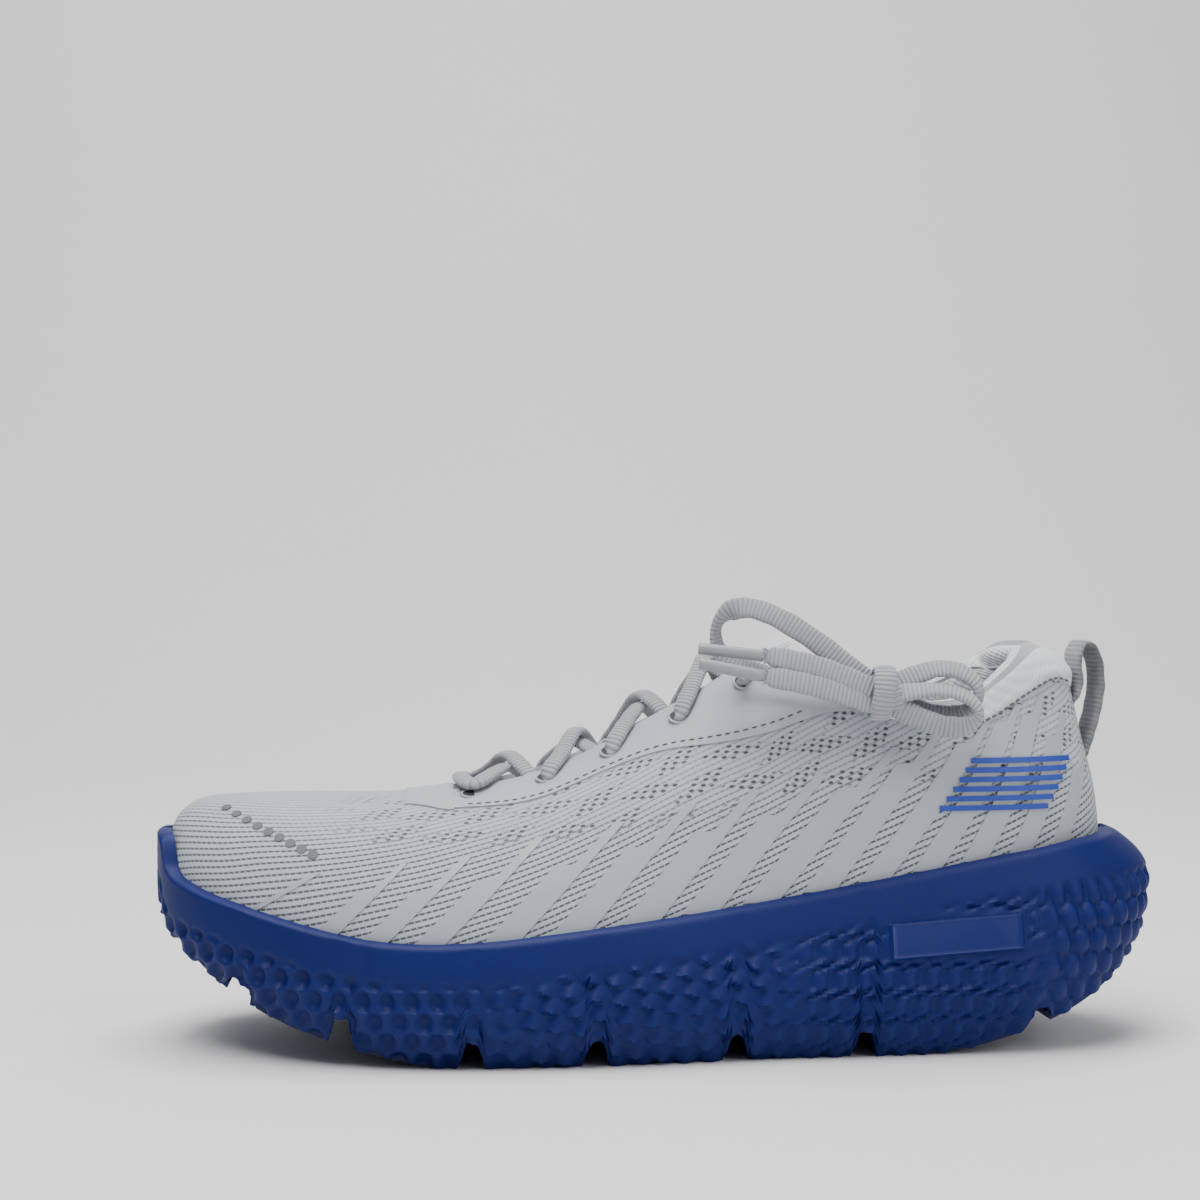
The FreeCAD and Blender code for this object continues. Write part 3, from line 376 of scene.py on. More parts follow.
# ---- materials -------------------------------------------------------------------------------
class Nodes:
    """A small writer of shader nodes inside one tree."""

    def __init__(self, tree):
        self.tree = tree
        self.x = -1800

    def add(self, kind, **values):
        node = self.tree.nodes.new(kind)
        node.location = (self.x, 0)
        self.x += 60
        for key, value in values.items():
            setattr(node, key, value)
        return node

    def link(self, source, target):
        self.tree.links.new(source, target)

    def put(self, socket, value):
        if isinstance(value, bpy.types.NodeSocket):
            self.link(value, socket)
        else:
            socket.default_value = value

    def math(self, operation, a, b=0.0, c=0.0):
        node = self.add("ShaderNodeMath", operation=operation)
        for socket, value in zip(node.inputs, (a, b, c)):
            self.put(socket, value)
        return node.outputs[0]

    def times(self, a, b):
        return self.math("MULTIPLY", a, b)

    def plus(self, a, b):
        return self.math("ADD", a, b)

    def minus(self, a, b):
        return self.math("SUBTRACT", a, b)

    def times_plus(self, a, b, c):
        return self.math("MULTIPLY_ADD", a, b, c)

    def sine(self, a):
        return self.math("SINE", a)

    def ramp(self, value, low, high):
        node = self.add("ShaderNodeMapRange", interpolation_type="SMOOTHSTEP")
        self.put(node.inputs[0], value)
        self.put(node.inputs[1], low)
        self.put(node.inputs[2], high)
        return node.outputs[0]

    def noise(self, vector, scale, detail=2.0):
        node = self.add("ShaderNodeTexNoise")
        self.link(vector, node.inputs["Vector"])
        self.put(node.inputs["Scale"], scale)
        node.inputs["Detail"].default_value = detail
        return node.outputs["Fac"]

    def mix(self, factor, a, b):
        node = self.add("ShaderNodeMix", data_type="RGBA")
        self.put(node.inputs[0], factor)
        self.put(node.inputs[6], a)
        self.put(node.inputs[7], b)
        return node.outputs[2]

    def split(self, vector):
        node = self.add("ShaderNodeSeparateXYZ")
        self.link(vector, node.inputs[0])
        return node.outputs[0], node.outputs[1], node.outputs[2]


def new_group(name, inputs, outputs):
    tree = bpy.data.node_groups.new(name, "ShaderNodeTree")
    for label, kind, default in inputs:
        socket = tree.interface.new_socket(label, in_out="INPUT", socket_type=kind)
        if default is not None:
            socket.default_value = default
    for label, kind in outputs:
        tree.interface.new_socket(label, in_out="OUTPUT", socket_type=kind)
    pen = Nodes(tree)
    entry = pen.add("NodeGroupInput")
    leave = pen.add("NodeGroupOutput")
    leave.location = (600, 0)
    return tree, pen, entry, leave


FLOAT = "NodeSocketFloat"
VECTOR = "NodeSocketVector"
COLOUR = "NodeSocketColor"


def weave_group():
    """Rows of yarn across two directions: a height and a shade."""
    tree, pen, entry, leave = new_group(
        "Weave",
        [("Vector", VECTOR, None), ("Across", FLOAT, 900.0), ("Along", FLOAT, 900.0), ("Slant", FLOAT, 0.0)],
        [("Height", FLOAT), ("Shade", FLOAT)])
    u, v, _ = pen.split(entry.outputs["Vector"])
    turn = math.tau
    a = pen.times(u, entry.outputs["Across"])
    a = pen.plus(a, pen.times(pen.times(v, entry.outputs["Along"]), entry.outputs["Slant"]))
    b = pen.times(v, entry.outputs["Along"])
    wave_a = pen.sine(pen.times(a, turn))
    wave_b = pen.sine(pen.times(b, turn))
    product = pen.times(wave_a, wave_b)
    height = pen.times_plus(product, 0.5, 0.5)
    pen.link(height, leave.inputs["Height"])
    pen.link(pen.ramp(height, 0.1, 0.6), leave.inputs["Shade"])
    return tree


def wear_group():
    """Slow changes of tone, with fine grain on top."""
    tree, pen, entry, leave = new_group(
        "Tone",
        [("Vector", VECTOR, None), ("Colour", COLOUR, (0.5, 0.5, 0.5, 1.0)), ("Spread", FLOAT, 0.12),
         ("Patches", FLOAT, 18.0), ("Grain", FLOAT, 900.0)],
        [("Colour", COLOUR), ("Grain", FLOAT)])
    broad = pen.noise(entry.outputs["Vector"], entry.outputs["Patches"], 3.0)
    fine = pen.noise(entry.outputs["Vector"], entry.outputs["Grain"], 2.0)
    broad_part = pen.times(pen.minus(broad, 0.5), 1.4)
    tone = pen.plus(broad_part, pen.times(pen.minus(fine, 0.5), 0.7))
    tone = pen.times_plus(tone, entry.outputs["Spread"], 1.0)
    scale = pen.add("ShaderNodeVectorMath", operation="SCALE")
    pen.link(entry.outputs["Colour"], scale.inputs[0])
    pen.link(tone, scale.inputs["Scale"])
    pen.link(scale.outputs[0], leave.inputs["Colour"])
    pen.link(fine, leave.inputs["Grain"])
    return tree


def material(name, roughness, sheen=0.0, specular=0.5):
    finish = bpy.data.materials.new(name)
    finish.use_nodes = True
    tree = finish.node_tree
    pen = Nodes(tree)
    shader = tree.nodes["Principled BSDF"]
    shader.inputs["Roughness"].default_value = roughness
    shader.inputs["Sheen Weight"].default_value = sheen
    shader.inputs["Sheen Roughness"].default_value = 0.5
    shader.inputs["Specular IOR Level"].default_value = specular
    return finish, pen, shader


def place_group(pen, tree, **values):
    node = pen.add("ShaderNodeGroup")
    node.node_tree = tree
    for key, value in values.items():
        pen.put(node.inputs[key], value)
    return node


def bump(pen, shader, height, strength, distance):
    node = pen.add("ShaderNodeBump")
    node.inputs["Strength"].default_value = strength
    node.inputs["Distance"].default_value = distance
    pen.link(height, node.inputs["Height"])
    pen.link(node.outputs[0], shader.inputs["Normal"])


def cloth_map(pen):
    node = pen.add("ShaderNodeUVMap")
    node.uv_map = "Cloth"
    return node.outputs[0]


def object_place(pen):
    return pen.add("ShaderNodeTexCoord").outputs["Object"]


def rgba(colour):
    return (colour[0], colour[1], colour[2], 1.0)


def toned(pen, vector, colour, spread, patches, grain):
    """A colour with slow changes of tone and fine grain."""
    return place_group(pen, GROUPS["tone"], Vector=vector, Colour=rgba(colour), Spread=spread,
                       Patches=patches, Grain=grain)


def woven(pen, vector, across, along, slant):
    return place_group(pen, GROUPS["weave"], Vector=vector, Across=across, Along=along, Slant=slant)


def knit_material(colour, dark):
    """Engineered knit: fine slanting ribs, dashes, and wavy clusters of small openings."""
    finish, pen, shader = material("upper_knit", 0.85, sheen=0.25, specular=0.3)
    uv = cloth_map(pen)
    u, v, _ = pen.split(uv)
    # the ribs run along the shoe and rise a little towards the heel
    drift = pen.times(pen.minus(pen.noise(uv, 26.0, 1.0), 0.5), 0.0022)
    line = pen.plus(pen.minus(v, pen.times(u, 0.30)), drift)
    rib = pen.times(line, math.tau / 0.00185)
    stitch = pen.times(pen.plus(u, pen.times(v, 0.45)), math.tau / 0.0021)
    rib_wave = pen.sine(rib)
    stitch_wave = pen.sine(pen.plus(stitch, pen.times(rib_wave, 0.8)))
    gap = pen.ramp(rib_wave, 0.18, 0.74)
    gap = pen.times(gap, pen.ramp(stitch_wave, -1.35, -0.35))
    low = pen.minus(1.0, pen.ramp(v, 0.034, 0.052))
    crown = pen.ramp(v, 0.050, 0.060)
    # clusters of openings in the middle belt, in rows that rise towards the heel
    belt_u = pen.times(pen.plus(u, pen.times(v, 0.55)), math.tau / 0.0315)
    belt_v = pen.times(line, math.tau / 0.0118)
    cluster = pen.sine(pen.plus(belt_u, pen.times(pen.sine(belt_v), 0.9)))
    cluster = pen.times(cluster, pen.math("COSINE", belt_v))
    cluster = pen.ramp(cluster, -0.10, 0.22)
    hole_a = pen.sine(pen.times(line, math.tau / 0.0028))
    hole_b = pen.sine(pen.plus(pen.times(u, math.tau / 0.0038), pen.times(line, math.tau / 0.0056)))
    hole = pen.ramp(pen.times(hole_a, hole_b), 0.22, 0.55)
    start = pen.ramp(u, 0.060, 0.095)
    belt = pen.times(pen.ramp(v, 0.036, 0.044), pen.minus(1.0, pen.ramp(v, 0.066, 0.076)))
    hole = pen.times(pen.times(hole, cluster), pen.times(belt, start))
    strength = pen.times_plus(low, 0.42, 0.52)
    strength = pen.minus(strength, pen.times(crown, 0.10))
    lines = pen.times(gap, strength)
    shade = pen.math("MAXIMUM", lines, hole)
    tone = toned(pen, uv, colour, 0.10, 30.0, 2400.0)
    pen.link(pen.mix(shade, tone.outputs["Colour"], rgba(dark)), shader.inputs["Base Color"])
    weave = woven(pen, uv, 900.0, 1080.0, 0.5)
    height = pen.minus(pen.times(weave.outputs["Height"], 0.30), pen.times(shade, 1.0))
    bump(pen, shader, height, 0.6, 0.0004)
    return finish


def film_material(name, colour, roughness=0.55):
    """Welded film: nearly smooth, with the knit's yarns faintly showing through."""
    finish, pen, shader = material(name, roughness, specular=0.4)
    place = object_place(pen)
    tone = toned(pen, place, colour, 0.05, 26.0, 1800.0)
    pen.link(tone.outputs["Colour"], shader.inputs["Base Color"])
    weave = woven(pen, cloth_map(pen), 620.0, 620.0, 0.3)
    height = pen.times_plus(weave.outputs["Height"], 0.35, pen.times(tone.outputs["Grain"], 0.6))
    bump(pen, shader, height, 0.16, 0.0002)
    return finish


def plain_film_material(name, colour, roughness=0.55):
    finish, pen, shader = material(name, roughness, specular=0.4)
    tone = toned(pen, object_place(pen), colour, 0.10, 60.0, 2600.0)
    pen.link(tone.outputs["Colour"], shader.inputs["Base Color"])
    bump(pen, shader, tone.outputs["Grain"], 0.15, 0.0002)
    return finish


def foam_material(name, colour, roughness=0.5):
    """Moulded foam: a satin skin with fine grain, and a painted highlight that lightens its sharp edges."""
    finish, pen, shader = material(name, roughness, specular=0.20)
    place = object_place(pen)
    tone = toned(pen, place, colour, 0.22, 22.0, 1500.0)
    # painted highlight: a lighter blue is mixed in on the sharp edges, found by their pointiness
    edge = pen.add("ShaderNodeNewGeometry").outputs["Pointiness"]
    edge = pen.ramp(edge, 0.50, 0.62)
    light = tuple(min(c * 1.5 + 0.006, 1.0) for c in colour)
    pen.link(pen.mix(pen.times(edge, 0.55), tone.outputs["Colour"], rgba(light)), shader.inputs["Base Color"])
    pen.link(pen.times_plus(tone.outputs["Grain"], 0.22, roughness - 0.1), shader.inputs["Roughness"])
    bump(pen, shader, tone.outputs["Grain"], 0.22, 0.0003)
    return finish


def cloth_material(name, colour, across, along, slant=0.0, dark=0.55, strength=0.6, depth=0.0005):
    finish, pen, shader = material(name, 0.88, sheen=0.3, specular=0.25)
    uv = cloth_map(pen)
    weave = woven(pen, uv, across, along, slant)
    tone = toned(pen, uv, colour, 0.12, 40.0, 2600.0)
    deep = tuple(c * dark for c in colour)
    pen.link(pen.mix(weave.outputs["Shade"], rgba(deep), tone.outputs["Colour"]), shader.inputs["Base Color"])
    height = pen.plus(weave.outputs["Height"], pen.times(tone.outputs["Grain"], 0.3))
    bump(pen, shader, height, strength, depth)
    return finish


def lace_material(name, colour):
    """Flat woven lace: ribs straight across it, with a fine twill on each rib."""
    finish, pen, shader = material(name, 0.82, sheen=0.35, specular=0.3)
    uv = cloth_map(pen)
    u, v, _ = pen.split(uv)
    rib = pen.sine(pen.times(u, math.tau / 0.00125))
    fine = pen.sine(pen.plus(pen.times(v, math.tau / 0.0008), pen.times(u, math.tau / 0.00062)))
    height = pen.times_plus(fine, 0.14, rib)
    shade = pen.ramp(rib, -1.25, -0.2)
    tone = toned(pen, uv, colour, 0.12, 120.0, 2600.0)
    deep = tuple(c * 0.60 for c in colour)
    pen.link(pen.mix(shade, rgba(deep), tone.outputs["Colour"]), shader.inputs["Base Color"])
    bump(pen, shader, height, 0.6, 0.00025)
    return finish


GROUPS = {}
FINISHES = {}


# ---- upper -----------------------------------------------------------------------------------
def side_map(points, start_row=0, start_u=0.0):
    """Cloth map of a wall: u along the shoe from the throat's front, v up from the floor."""
    along = np.linalg.norm(np.diff(points, axis=0), axis=-1)
    down = np.concatenate([np.zeros((1, points.shape[1])), np.cumsum(along, axis=0)])
    down = down - down[start_row] + start_u
    across = np.linalg.norm(np.diff(points, axis=1), axis=-1)
    over = np.concatenate([np.zeros((points.shape[0], 1)), np.cumsum(across, axis=1)], axis=1)
    return np.stack([down, over], -1)


THROAT_U = 110.0


def upper_walls(name, offset):
    """The knit's outer skin as four walls: both halves of the vamp and both quarters."""
    walls = []
    t = np.linspace(0.0, 1.0, 43)
    s = np.linspace(0.0, 1.0, 15)
    front = spread(TOE_TIP, THROAT_FRONT, 74, True)
    back = spread(THROAT_FRONT, HEEL_TIP, 150, False, True)
    for side in SIDES:
        corner = float(upper_edge(np.array(THROAT_FRONT), side))
        seam = VAMP_ANGLE + (corner - VAMP_ANGLE) * (front - TOE_TIP) / (THROAT_FRONT - TOE_TIP)
        angles = np.concatenate([
            seam[:, None] * t[None, :], seam[:, None] + (RIDGE - seam[:, None]) * s[None, 1:]], 1)
        points = on_last(front[:, None] + 0.0 * angles, angles, side, offset)
        cloth = side_map(points, start_row=len(front) - 1, start_u=THROAT_U)
        walls.append(laid_grid(f"{name}_vamp_{side}", points, cloth))
        top = upper_edge(back, side)
        angles = top[:, None] * t[None, :]
        points = on_last(back[:, None] + 0.0 * angles, angles, side, offset)
        walls.append(laid_grid(f"{name}_quarter_{side}", points, side_map(points, start_u=THROAT_U)))
    return walls


def make_upper():
    piece = joined("upper_knit", upper_walls("upper", 0.0), 0.03)
    # the knit turns in under the toe above the sole's upswept tip
    for vertex in piece.data.vertices:
        if vertex.co.x < -0.120:
            vertex.co.z = max(vertex.co.z, (float(sole_bottom(vertex.co.x / MM)) + 4.0) * MM)
    outward(piece, Vector((0.0, 0.002, 0.06)))
    outside = len(piece.data.polygons)
    use(piece, "SOLIDIFY", thickness=bpy.context.scene.shoe_sizes.knit_thickness, offset=-1.0)
    finish_piece(piece, FINISHES["knit"], ("upper_mesh",))
    piece.data.materials.append(FINISHES["backing"])
    for face in piece.data.polygons[outside:2 * outside]:
        face.material_index = 1
    return piece


def surface_patch(name, xs, zs, side, offset, thickness):
    """A thin film over places given by nominal x and height, both as grids."""
    angles = at_height(xs, zs)
    points = on_last(xs, angles, side, offset + thickness)
    piece = laid_grid(name, points)
    outward(piece, Vector((float(xs.mean()) * MM, CENTRE * MM, 0.06)))
    use(piece, "SOLIDIFY", thickness=thickness * MM, offset=-1.0)
    return piece


def strip_grid(base, tip, width, shoulder, notch, rows=30, columns=5):
    """A slanted strip: full width up to its shoulder, then a narrower finger up to its tip."""
    t = np.linspace(0.0, 1.0, rows)
    t = np.sort(np.concatenate([t, [shoulder - 0.004, shoulder + 0.004]]))
    right_x = base[0] + (tip[0] - base[0]) * t
    height = base[1] + (tip[1] - base[1]) * t
    finger = width * notch * (1.0 - 0.35 * (t - shoulder) / max(1.0 - shoulder, 0.01))
    wide = np.where(t < shoulder, width * (1.0 - 0.12 * t), finger)
    k = np.linspace(0.0, 1.0, columns)
    xs = right_x[:, None] - wide[:, None] * (1.0 - k[None, :])
    zs = height[:, None] + 0.0 * k[None, :]
    return xs, zs


# right lower corner, right upper tip, width, and how far up the shoulder sits
STRIPS = (
    ((-120.0, 49.0), (-100.0, 54.5), 2.6, 0.99),
    ((-96.0, 38.5), (-75.5, 57.0), 6.6, 0.62),
    ((-82.0, 36.0), (-57.0, 59.0), 7.6, 0.62),
    ((-66.0, 35.0), (-36.0, 64.0), 8.6, 0.62),
    ((-44.5, 36.5), (-13.0, 68.0), 9.8, 0.64),
    ((-24.5, 38.5), (8.0, 73.0), 10.4, 0.66),
    ((-4.5, 41.0), (27.0, 77.0), 10.6, 0.68),
    ((13.0, 43.5), (46.0, 81.5), 10.4, 0.70),
    ((30.5, 46.0), (68.0, 89.0), 10.0, 0.74),
    ((47.5, 49.0), (82.0, 93.5), 9.4, 0.80),
    ((63.5, 51.5), (99.0, 96.5), 8.8, 0.86),
)
HEEL_STRIPS = (
    ((79.0, 54.0), (111.0, 101.0), 8.2, 0.90),
    ((93.0, 56.5), (121.0, 104.0), 7.6, 0.88),
    ((107.0, 59.0), (128.0, 98.0), 6.8, 0.84),
    ((119.0, 60.5), (132.5, 87.0), 5.4, 0.80),
)


def make_strips(name, table, side, node):
    pieces = []
    for k, (base, tip, width, shoulder) in enumerate(table):
        foot = float(sole_edge(base[0])) - 1.5
        limit = float(band_height(tip[0])) - 1.0
        xs, zs = strip_grid((base[0], foot), (tip[0], min(tip[1], limit)), width, shoulder, 0.42)
        pieces.append(surface_patch(f"{name}_{k}", np.maximum(xs, TOE_TIP + 1.0), zs, side, 0.02, 0.34))
    piece = joined(name, pieces, 0.0)
    return finish_piece(piece, FINISHES["strip"], (node,), angle=35.0)


def film_low(x):
    """Lower edge of the throat film, as a distance from the centre line."""
    return THROAT_HALF + 14.0 + 10.0 * smooth_step(x, 0.0, at(0.7)) + 1.2 * np.sin(x / 9.0)


def film_edge(x, side, inset=0.0):
    """Angle of the film's lower edge, kept a set drop below the throat on the steep inner side."""
    throat = np.interp(x, [THROAT_FRONT, -20.0, 20.0, 62.0], [62.0, 74.0, 92.0, 92.0])
    drop = np.interp(x, [THROAT_FRONT, -20.0, 20.0, 62.0], [8.0, 13.0, 20.0, 8.0])
    return np.maximum(at_width(x, film_low(x) - inset, side), at_height(x, throat - drop + inset))


def make_film():
    """The smooth film round the throat, with its front bar."""
    pieces = []
    for side in SIDES:
        xs = np.linspace(-76.0, THROAT_FRONT, 16)
        low = at_width(xs, THROAT_HALF + 14.0 - 6.0 * smooth_step(-xs, 62.0, 76.0), side)
        t = np.linspace(0.0, 1.0, 24)
        angles = low[:, None] + (RIDGE - low[:, None]) * t[None, :]
        points = on_last(xs[:, None] + 0.0 * angles, angles, side, 0.55)
        front = laid_grid(f"film_front_{side}", points)
        xs = np.linspace(THROAT_FRONT, 62.0, 90)
        low = film_edge(xs, side)
        top = upper_edge(xs, side)
        angles = low[:, None] + np.maximum(top - low, 0.004)[:, None] * t[None, :]
        points = on_last(xs[:, None] + 0.0 * angles, angles, side, 0.55)
        back = laid_grid(f"film_back_{side}", points)
        pieces += [front, back]
    piece = joined("throat_film", pieces, 0.05)
    outward(piece, Vector((0.0, 0.002, 0.04)))
    use(piece, "SOLIDIFY", thickness=bpy.context.scene.shoe_sizes.film_thickness, offset=-1.0)
    return finish_piece(piece, FINISHES["film"], ("eyestay_film",), angle=35.0)


def eyelet_spot(x, side, offset):
    x = np.array(x, float)
    return on_last(x, at_width(x, THROAT_HALF + EYELET_INSET, side), side, np.array(offset, float))


def make_eyelets():
    """Punched holes with a pressed rim: a dark disc of painted shadow inside a soft ring."""
    rings = []
    hole_shadows = []
    for side in SIDES:
        for x in EYELETS:
            low = Vector(eyelet_spot(x, side, 0.5) * MM)
            out = Vector(eyelet_spot(x, side, 2.0) * MM) - low
            turn = out.to_track_quat("Z", "Y")
            deselect()
            bpy.ops.mesh.primitive_torus_add(major_segments=32, minor_segments=8, major_radius=2.7 * MM,
                                             minor_radius=0.42 * MM, location=low, rotation=turn.to_euler())
            rings.append(bpy.context.object)
            # a thin dark disc in each hole is painted shadow for the hole's depth
            deselect()
            bpy.ops.mesh.primitive_cylinder_add(vertices=32, radius=2.6 * MM, depth=0.4 * MM, location=low,
                                                rotation=turn.to_euler())
            hole_shadows.append(bpy.context.object)
    for name, group, finish, slot in (
        ("eyelet_rims", rings, "film", "film_grey"),
        ("eyelet_hole_shadows", hole_shadows, "dark", "dots_grey"),
    ):
        piece = joined(name, group, 0.0)
        pick(piece)
        bpy.ops.object.transform_apply(location=True, rotation=True, scale=True)
        finish_piece(piece, FINISHES[finish])


def make_film_stitching():
    """Pricked line of stitches along the film's lower edge."""
    bits = []
    for side in SIDES:
        xs = np.arange(-58.0, 40.0, 2.6)
        a = on_last(xs, film_edge(xs, side, 1.2), side, 0.62)
        b = on_last(xs + 1.5, film_edge(xs + 1.5, side, 1.2), side, 0.62)
        bits += list(zip(a, b))
    return stitches("film_stitching", bits, 0.28, "thread")


def stitches(name, pairs, radius, finish):
    """Short round-ended stitches, each from one point to the next."""
    deselect()
    bpy.ops.mesh.primitive_uv_sphere_add(segments=6, ring_count=4, radius=1.0)
    seed = bpy.context.object
    count = len(seed.data.vertices)
    shape = np.zeros(count * 3)
    seed.data.vertices.foreach_get("co", shape)
    shape = shape.reshape(-1, 3)
    corners = [tuple(f.vertices) for f in seed.data.polygons]
    bpy.data.objects.remove(seed, do_unlink=True)
    verts = []
    faces = []
    for a, b in pairs:
        a = np.asarray(a) * MM
        b = np.asarray(b) * MM
        axis = b - a
        size = np.linalg.norm(axis)
        axis = axis / max(size, 1e-9)
        side = unit(np.cross(axis, [0.13, 0.2, 0.97]))
        third = np.cross(axis, side)
        local = shape * [radius * MM, radius * MM, 0.5 * size + radius * MM * 0.5]
        start = len(verts)
        verts += list((a + b) / 2 + local[:, :1] * side + local[:, 1:2] * third + local[:, 2:] * axis)
        faces += [tuple(i + start for i in f) for f in corners]
    mesh = bpy.data.meshes.new(name)
    mesh.from_pydata([tuple(v) for v in verts], [], faces)
    piece = bpy.data.objects.new(name, mesh)
    bpy.context.scene.collection.objects.link(piece)
    clean(piece, 0.0)
    return finish_piece(piece, FINISHES[finish])


# ---- collar, tongue and inside -----------------------------------------------------------------
def make_collar():
    """Padded collar: up the inside, over a full round rim, and down to its outer seam."""
    xs = spread(COLLAR_FRONT - 6.0, HEEL_TIP, 96, False, True)
    walls = []
    for side in SIDES:
        rim = rim_height(xs) + lift(xs, side)
        band = np.minimum(band_height(xs) + lift(xs, side), rim - 2.4)
        slim = smooth_step(xs, COLLAR_FRONT - 6.0, 64.0)
        inside = -(2.6 + 7.6 * slim)
        columns = []
        bottom = foot_floor(xs) + 9.0
        for k in range(12):
            t = k / 12.0
            puff = 1.6 * math.sin(math.pi * t) ** 2 * slim
            columns.append((bottom + (rim - 7.0 - bottom) * t, inside - puff * smooth_step(xs, 50.0, 70.0)))
        reach = 0.5 * (0.7 - inside)
        middle = 0.5 * (0.7 + inside)
        drop = np.minimum(7.0, 1.3 * reach)
        for k in range(13):
            turn = math.pi * (1.0 - k / 12.0)
            height = rim - drop + drop * math.sin(turn) ** 0.8
            columns.append((height, middle + reach * math.cos(turn) * 1.04))
        for k in range(1, 7):
            t = k / 6.0
            puff = 0.9 * math.sin(math.pi * min(t * 1.05, 1.0))
            columns.append(((rim - drop) + (band - 0.6 - rim + drop) * t, 0.55 + puff * slim - 0.35 * t))
        heights = np.stack([c[0] + 0.0 * xs for c in columns], 1)
        offsets = np.stack([c[1] + 0.0 * xs for c in columns], 1)
        x = xs[:, None] + 0.0 * heights
        points = on_last(x, at_height(x, heights), side, offsets)
        walls.append(laid_grid(f"collar_{side}", points))
    piece = joined("padded_collar", walls, 0.06)
    use(piece, "SOLIDIFY", thickness=bpy.context.scene.shoe_sizes.lining_thickness, offset=-1.0)
    use(piece, "SUBSURF", levels=1, render_levels=1)
    finish_piece(piece, FINISHES["lining"], ("collar_lining",))
    pairs = []
    for side in SIDES:
        line = np.arange(COLLAR_FRONT, 132.0, 2.4)
        for x0 in line:
            ends = []
            for x in (x0, x0 + 1.6):
                x = np.array(min(x, HEEL_TIP))
                z = band_height(x) + lift(x, side) - 0.2
                ends.append(on_last(x, at_height(x, z), side, np.array(0.75)))
            pairs.append(ends)
    stitches("collar_seam", pairs, 0.36, "thread")
    return piece


def make_tongue():
    """Padded tongue with a rolled top and a stitched channel down each side."""
    xs = np.concatenate([np.linspace(-66.0, 36.0, 60), 36.0 + 5.0 * np.sin(np.linspace(0.0, RIDGE, 12))[1:]])
    sunk = 1.4 + 4.4
    level = tongue_level(xs)
    outer = -sunk * (1.0 - level) - 0.4 * level
    roll = np.sqrt(np.maximum(1.0 - ((xs - 36.0).clip(0.0) / 5.0) ** 2, 0.0))
    half = tongue_half(xs)
    rings = []
    k = np.linspace(-1.0, 1.0, 33)
    channel = 0.5 * np.exp(-((np.abs(k) - 0.72) / 0.05) ** 2)
    crown = 1.0 - np.abs(k) ** 6
    for face in (1, -1):
        line = []
        for j, kk in enumerate(k if face > 0 else k[::-1]):
            side = LATERAL if kk < 0 else MEDIAL
            angle = at_width(xs, np.abs(kk) * half, side) if abs(kk) > 1e-6 else np.full_like(xs, RIDGE)
            swell = crown[j] * 2.0 * roll
            middle = outer - 1.7
            dent = channel[j] * (0.8 if face > 0 else 0.0)
            line.append(on_last(xs, angle, side, middle + face * np.maximum(swell - dent, 0.05)))
        rings.append(np.stack(line, 1))
    points = np.concatenate([rings[0], rings[1][:, 1:]], 1)
    piece = laid_grid("padded_tongue", points)
    clean(piece, 0.15)
    clean(piece, 0.0, fill=True)
    finish_piece(piece, FINISHES["tongue"], ("tongue",))
    return piece


# ---- sole --------------------------------------------------------------------------------------
def groove_lift(x):
    total = np.zeros_like(x)
    for centre in GROOVES:
        depth = 8.5 * (0.6 if abs(centre) > 100.0 else 1.0)
        away = np.abs(x - centre)
        total = np.maximum(total, depth * (1.0 - smooth_step(away, 1.4, 4.4)))
    return total


def staggered(u, v):
    """Local place inside staggered cells: each second row is moved by half a cell."""
    row = np.floor(v)
    a = u + 0.5 * np.mod(row, 2.0)
    return a - np.floor(a) - 0.5, v - row - 0.5


def scale_relief(s, z, x, depth):
    """Moulded relief of the sidewall, in millimetres outwards."""
    a, b = staggered(s / 7.0, z / 5.8)
    pits = -1.9 * np.exp(-((a / 0.33) ** 2 + (b / 0.46) ** 2) ** 2.2)
    a2, b2 = staggered((s - 0.45 * z) / 7.8, (z + 0.16 * s) / 5.0)
    facets = 1.9 * np.clip(1.0 - np.abs(a2 + 0.12) * 1.9, 0.0, 1.0) * (0.75 - b2) - 1.25
    wave = s - 1.15 * z + 1.9 * np.sin(math.tau * z / 8.0)
    c = wave / 6.6 - np.floor(wave / 6.6)
    ridges = 1.75 * np.clip(1.0 - np.abs(c - 0.42) / 0.42, 0.0, 1.0) ** 0.9 - 1.35
    a3, b3 = staggered(s / 6.6, z / 7.4)
    scales = 1.7 * np.clip(1.0 - (a3 / 0.44) ** 2 - (b3 / 0.60) ** 2, 0.0, 1.0) ** 0.7 - 1.55
    w1 = 1.0 - smooth_step(x, -66.0, -34.0)
    w2 = smooth_step(x, -66.0, -34.0) * (1.0 - smooth_step(x, 22.0, 46.0))
    w3 = smooth_step(x, 22.0, 46.0) * (1.0 - smooth_step(x, 96.0, 116.0))
    w4 = smooth_step(x, 96.0, 116.0)
    relief = w1 * pits + w2 * facets + w3 * ridges + w4 * scales
    fade = smooth_step(depth, 9.5, 13.0)
    return relief * fade


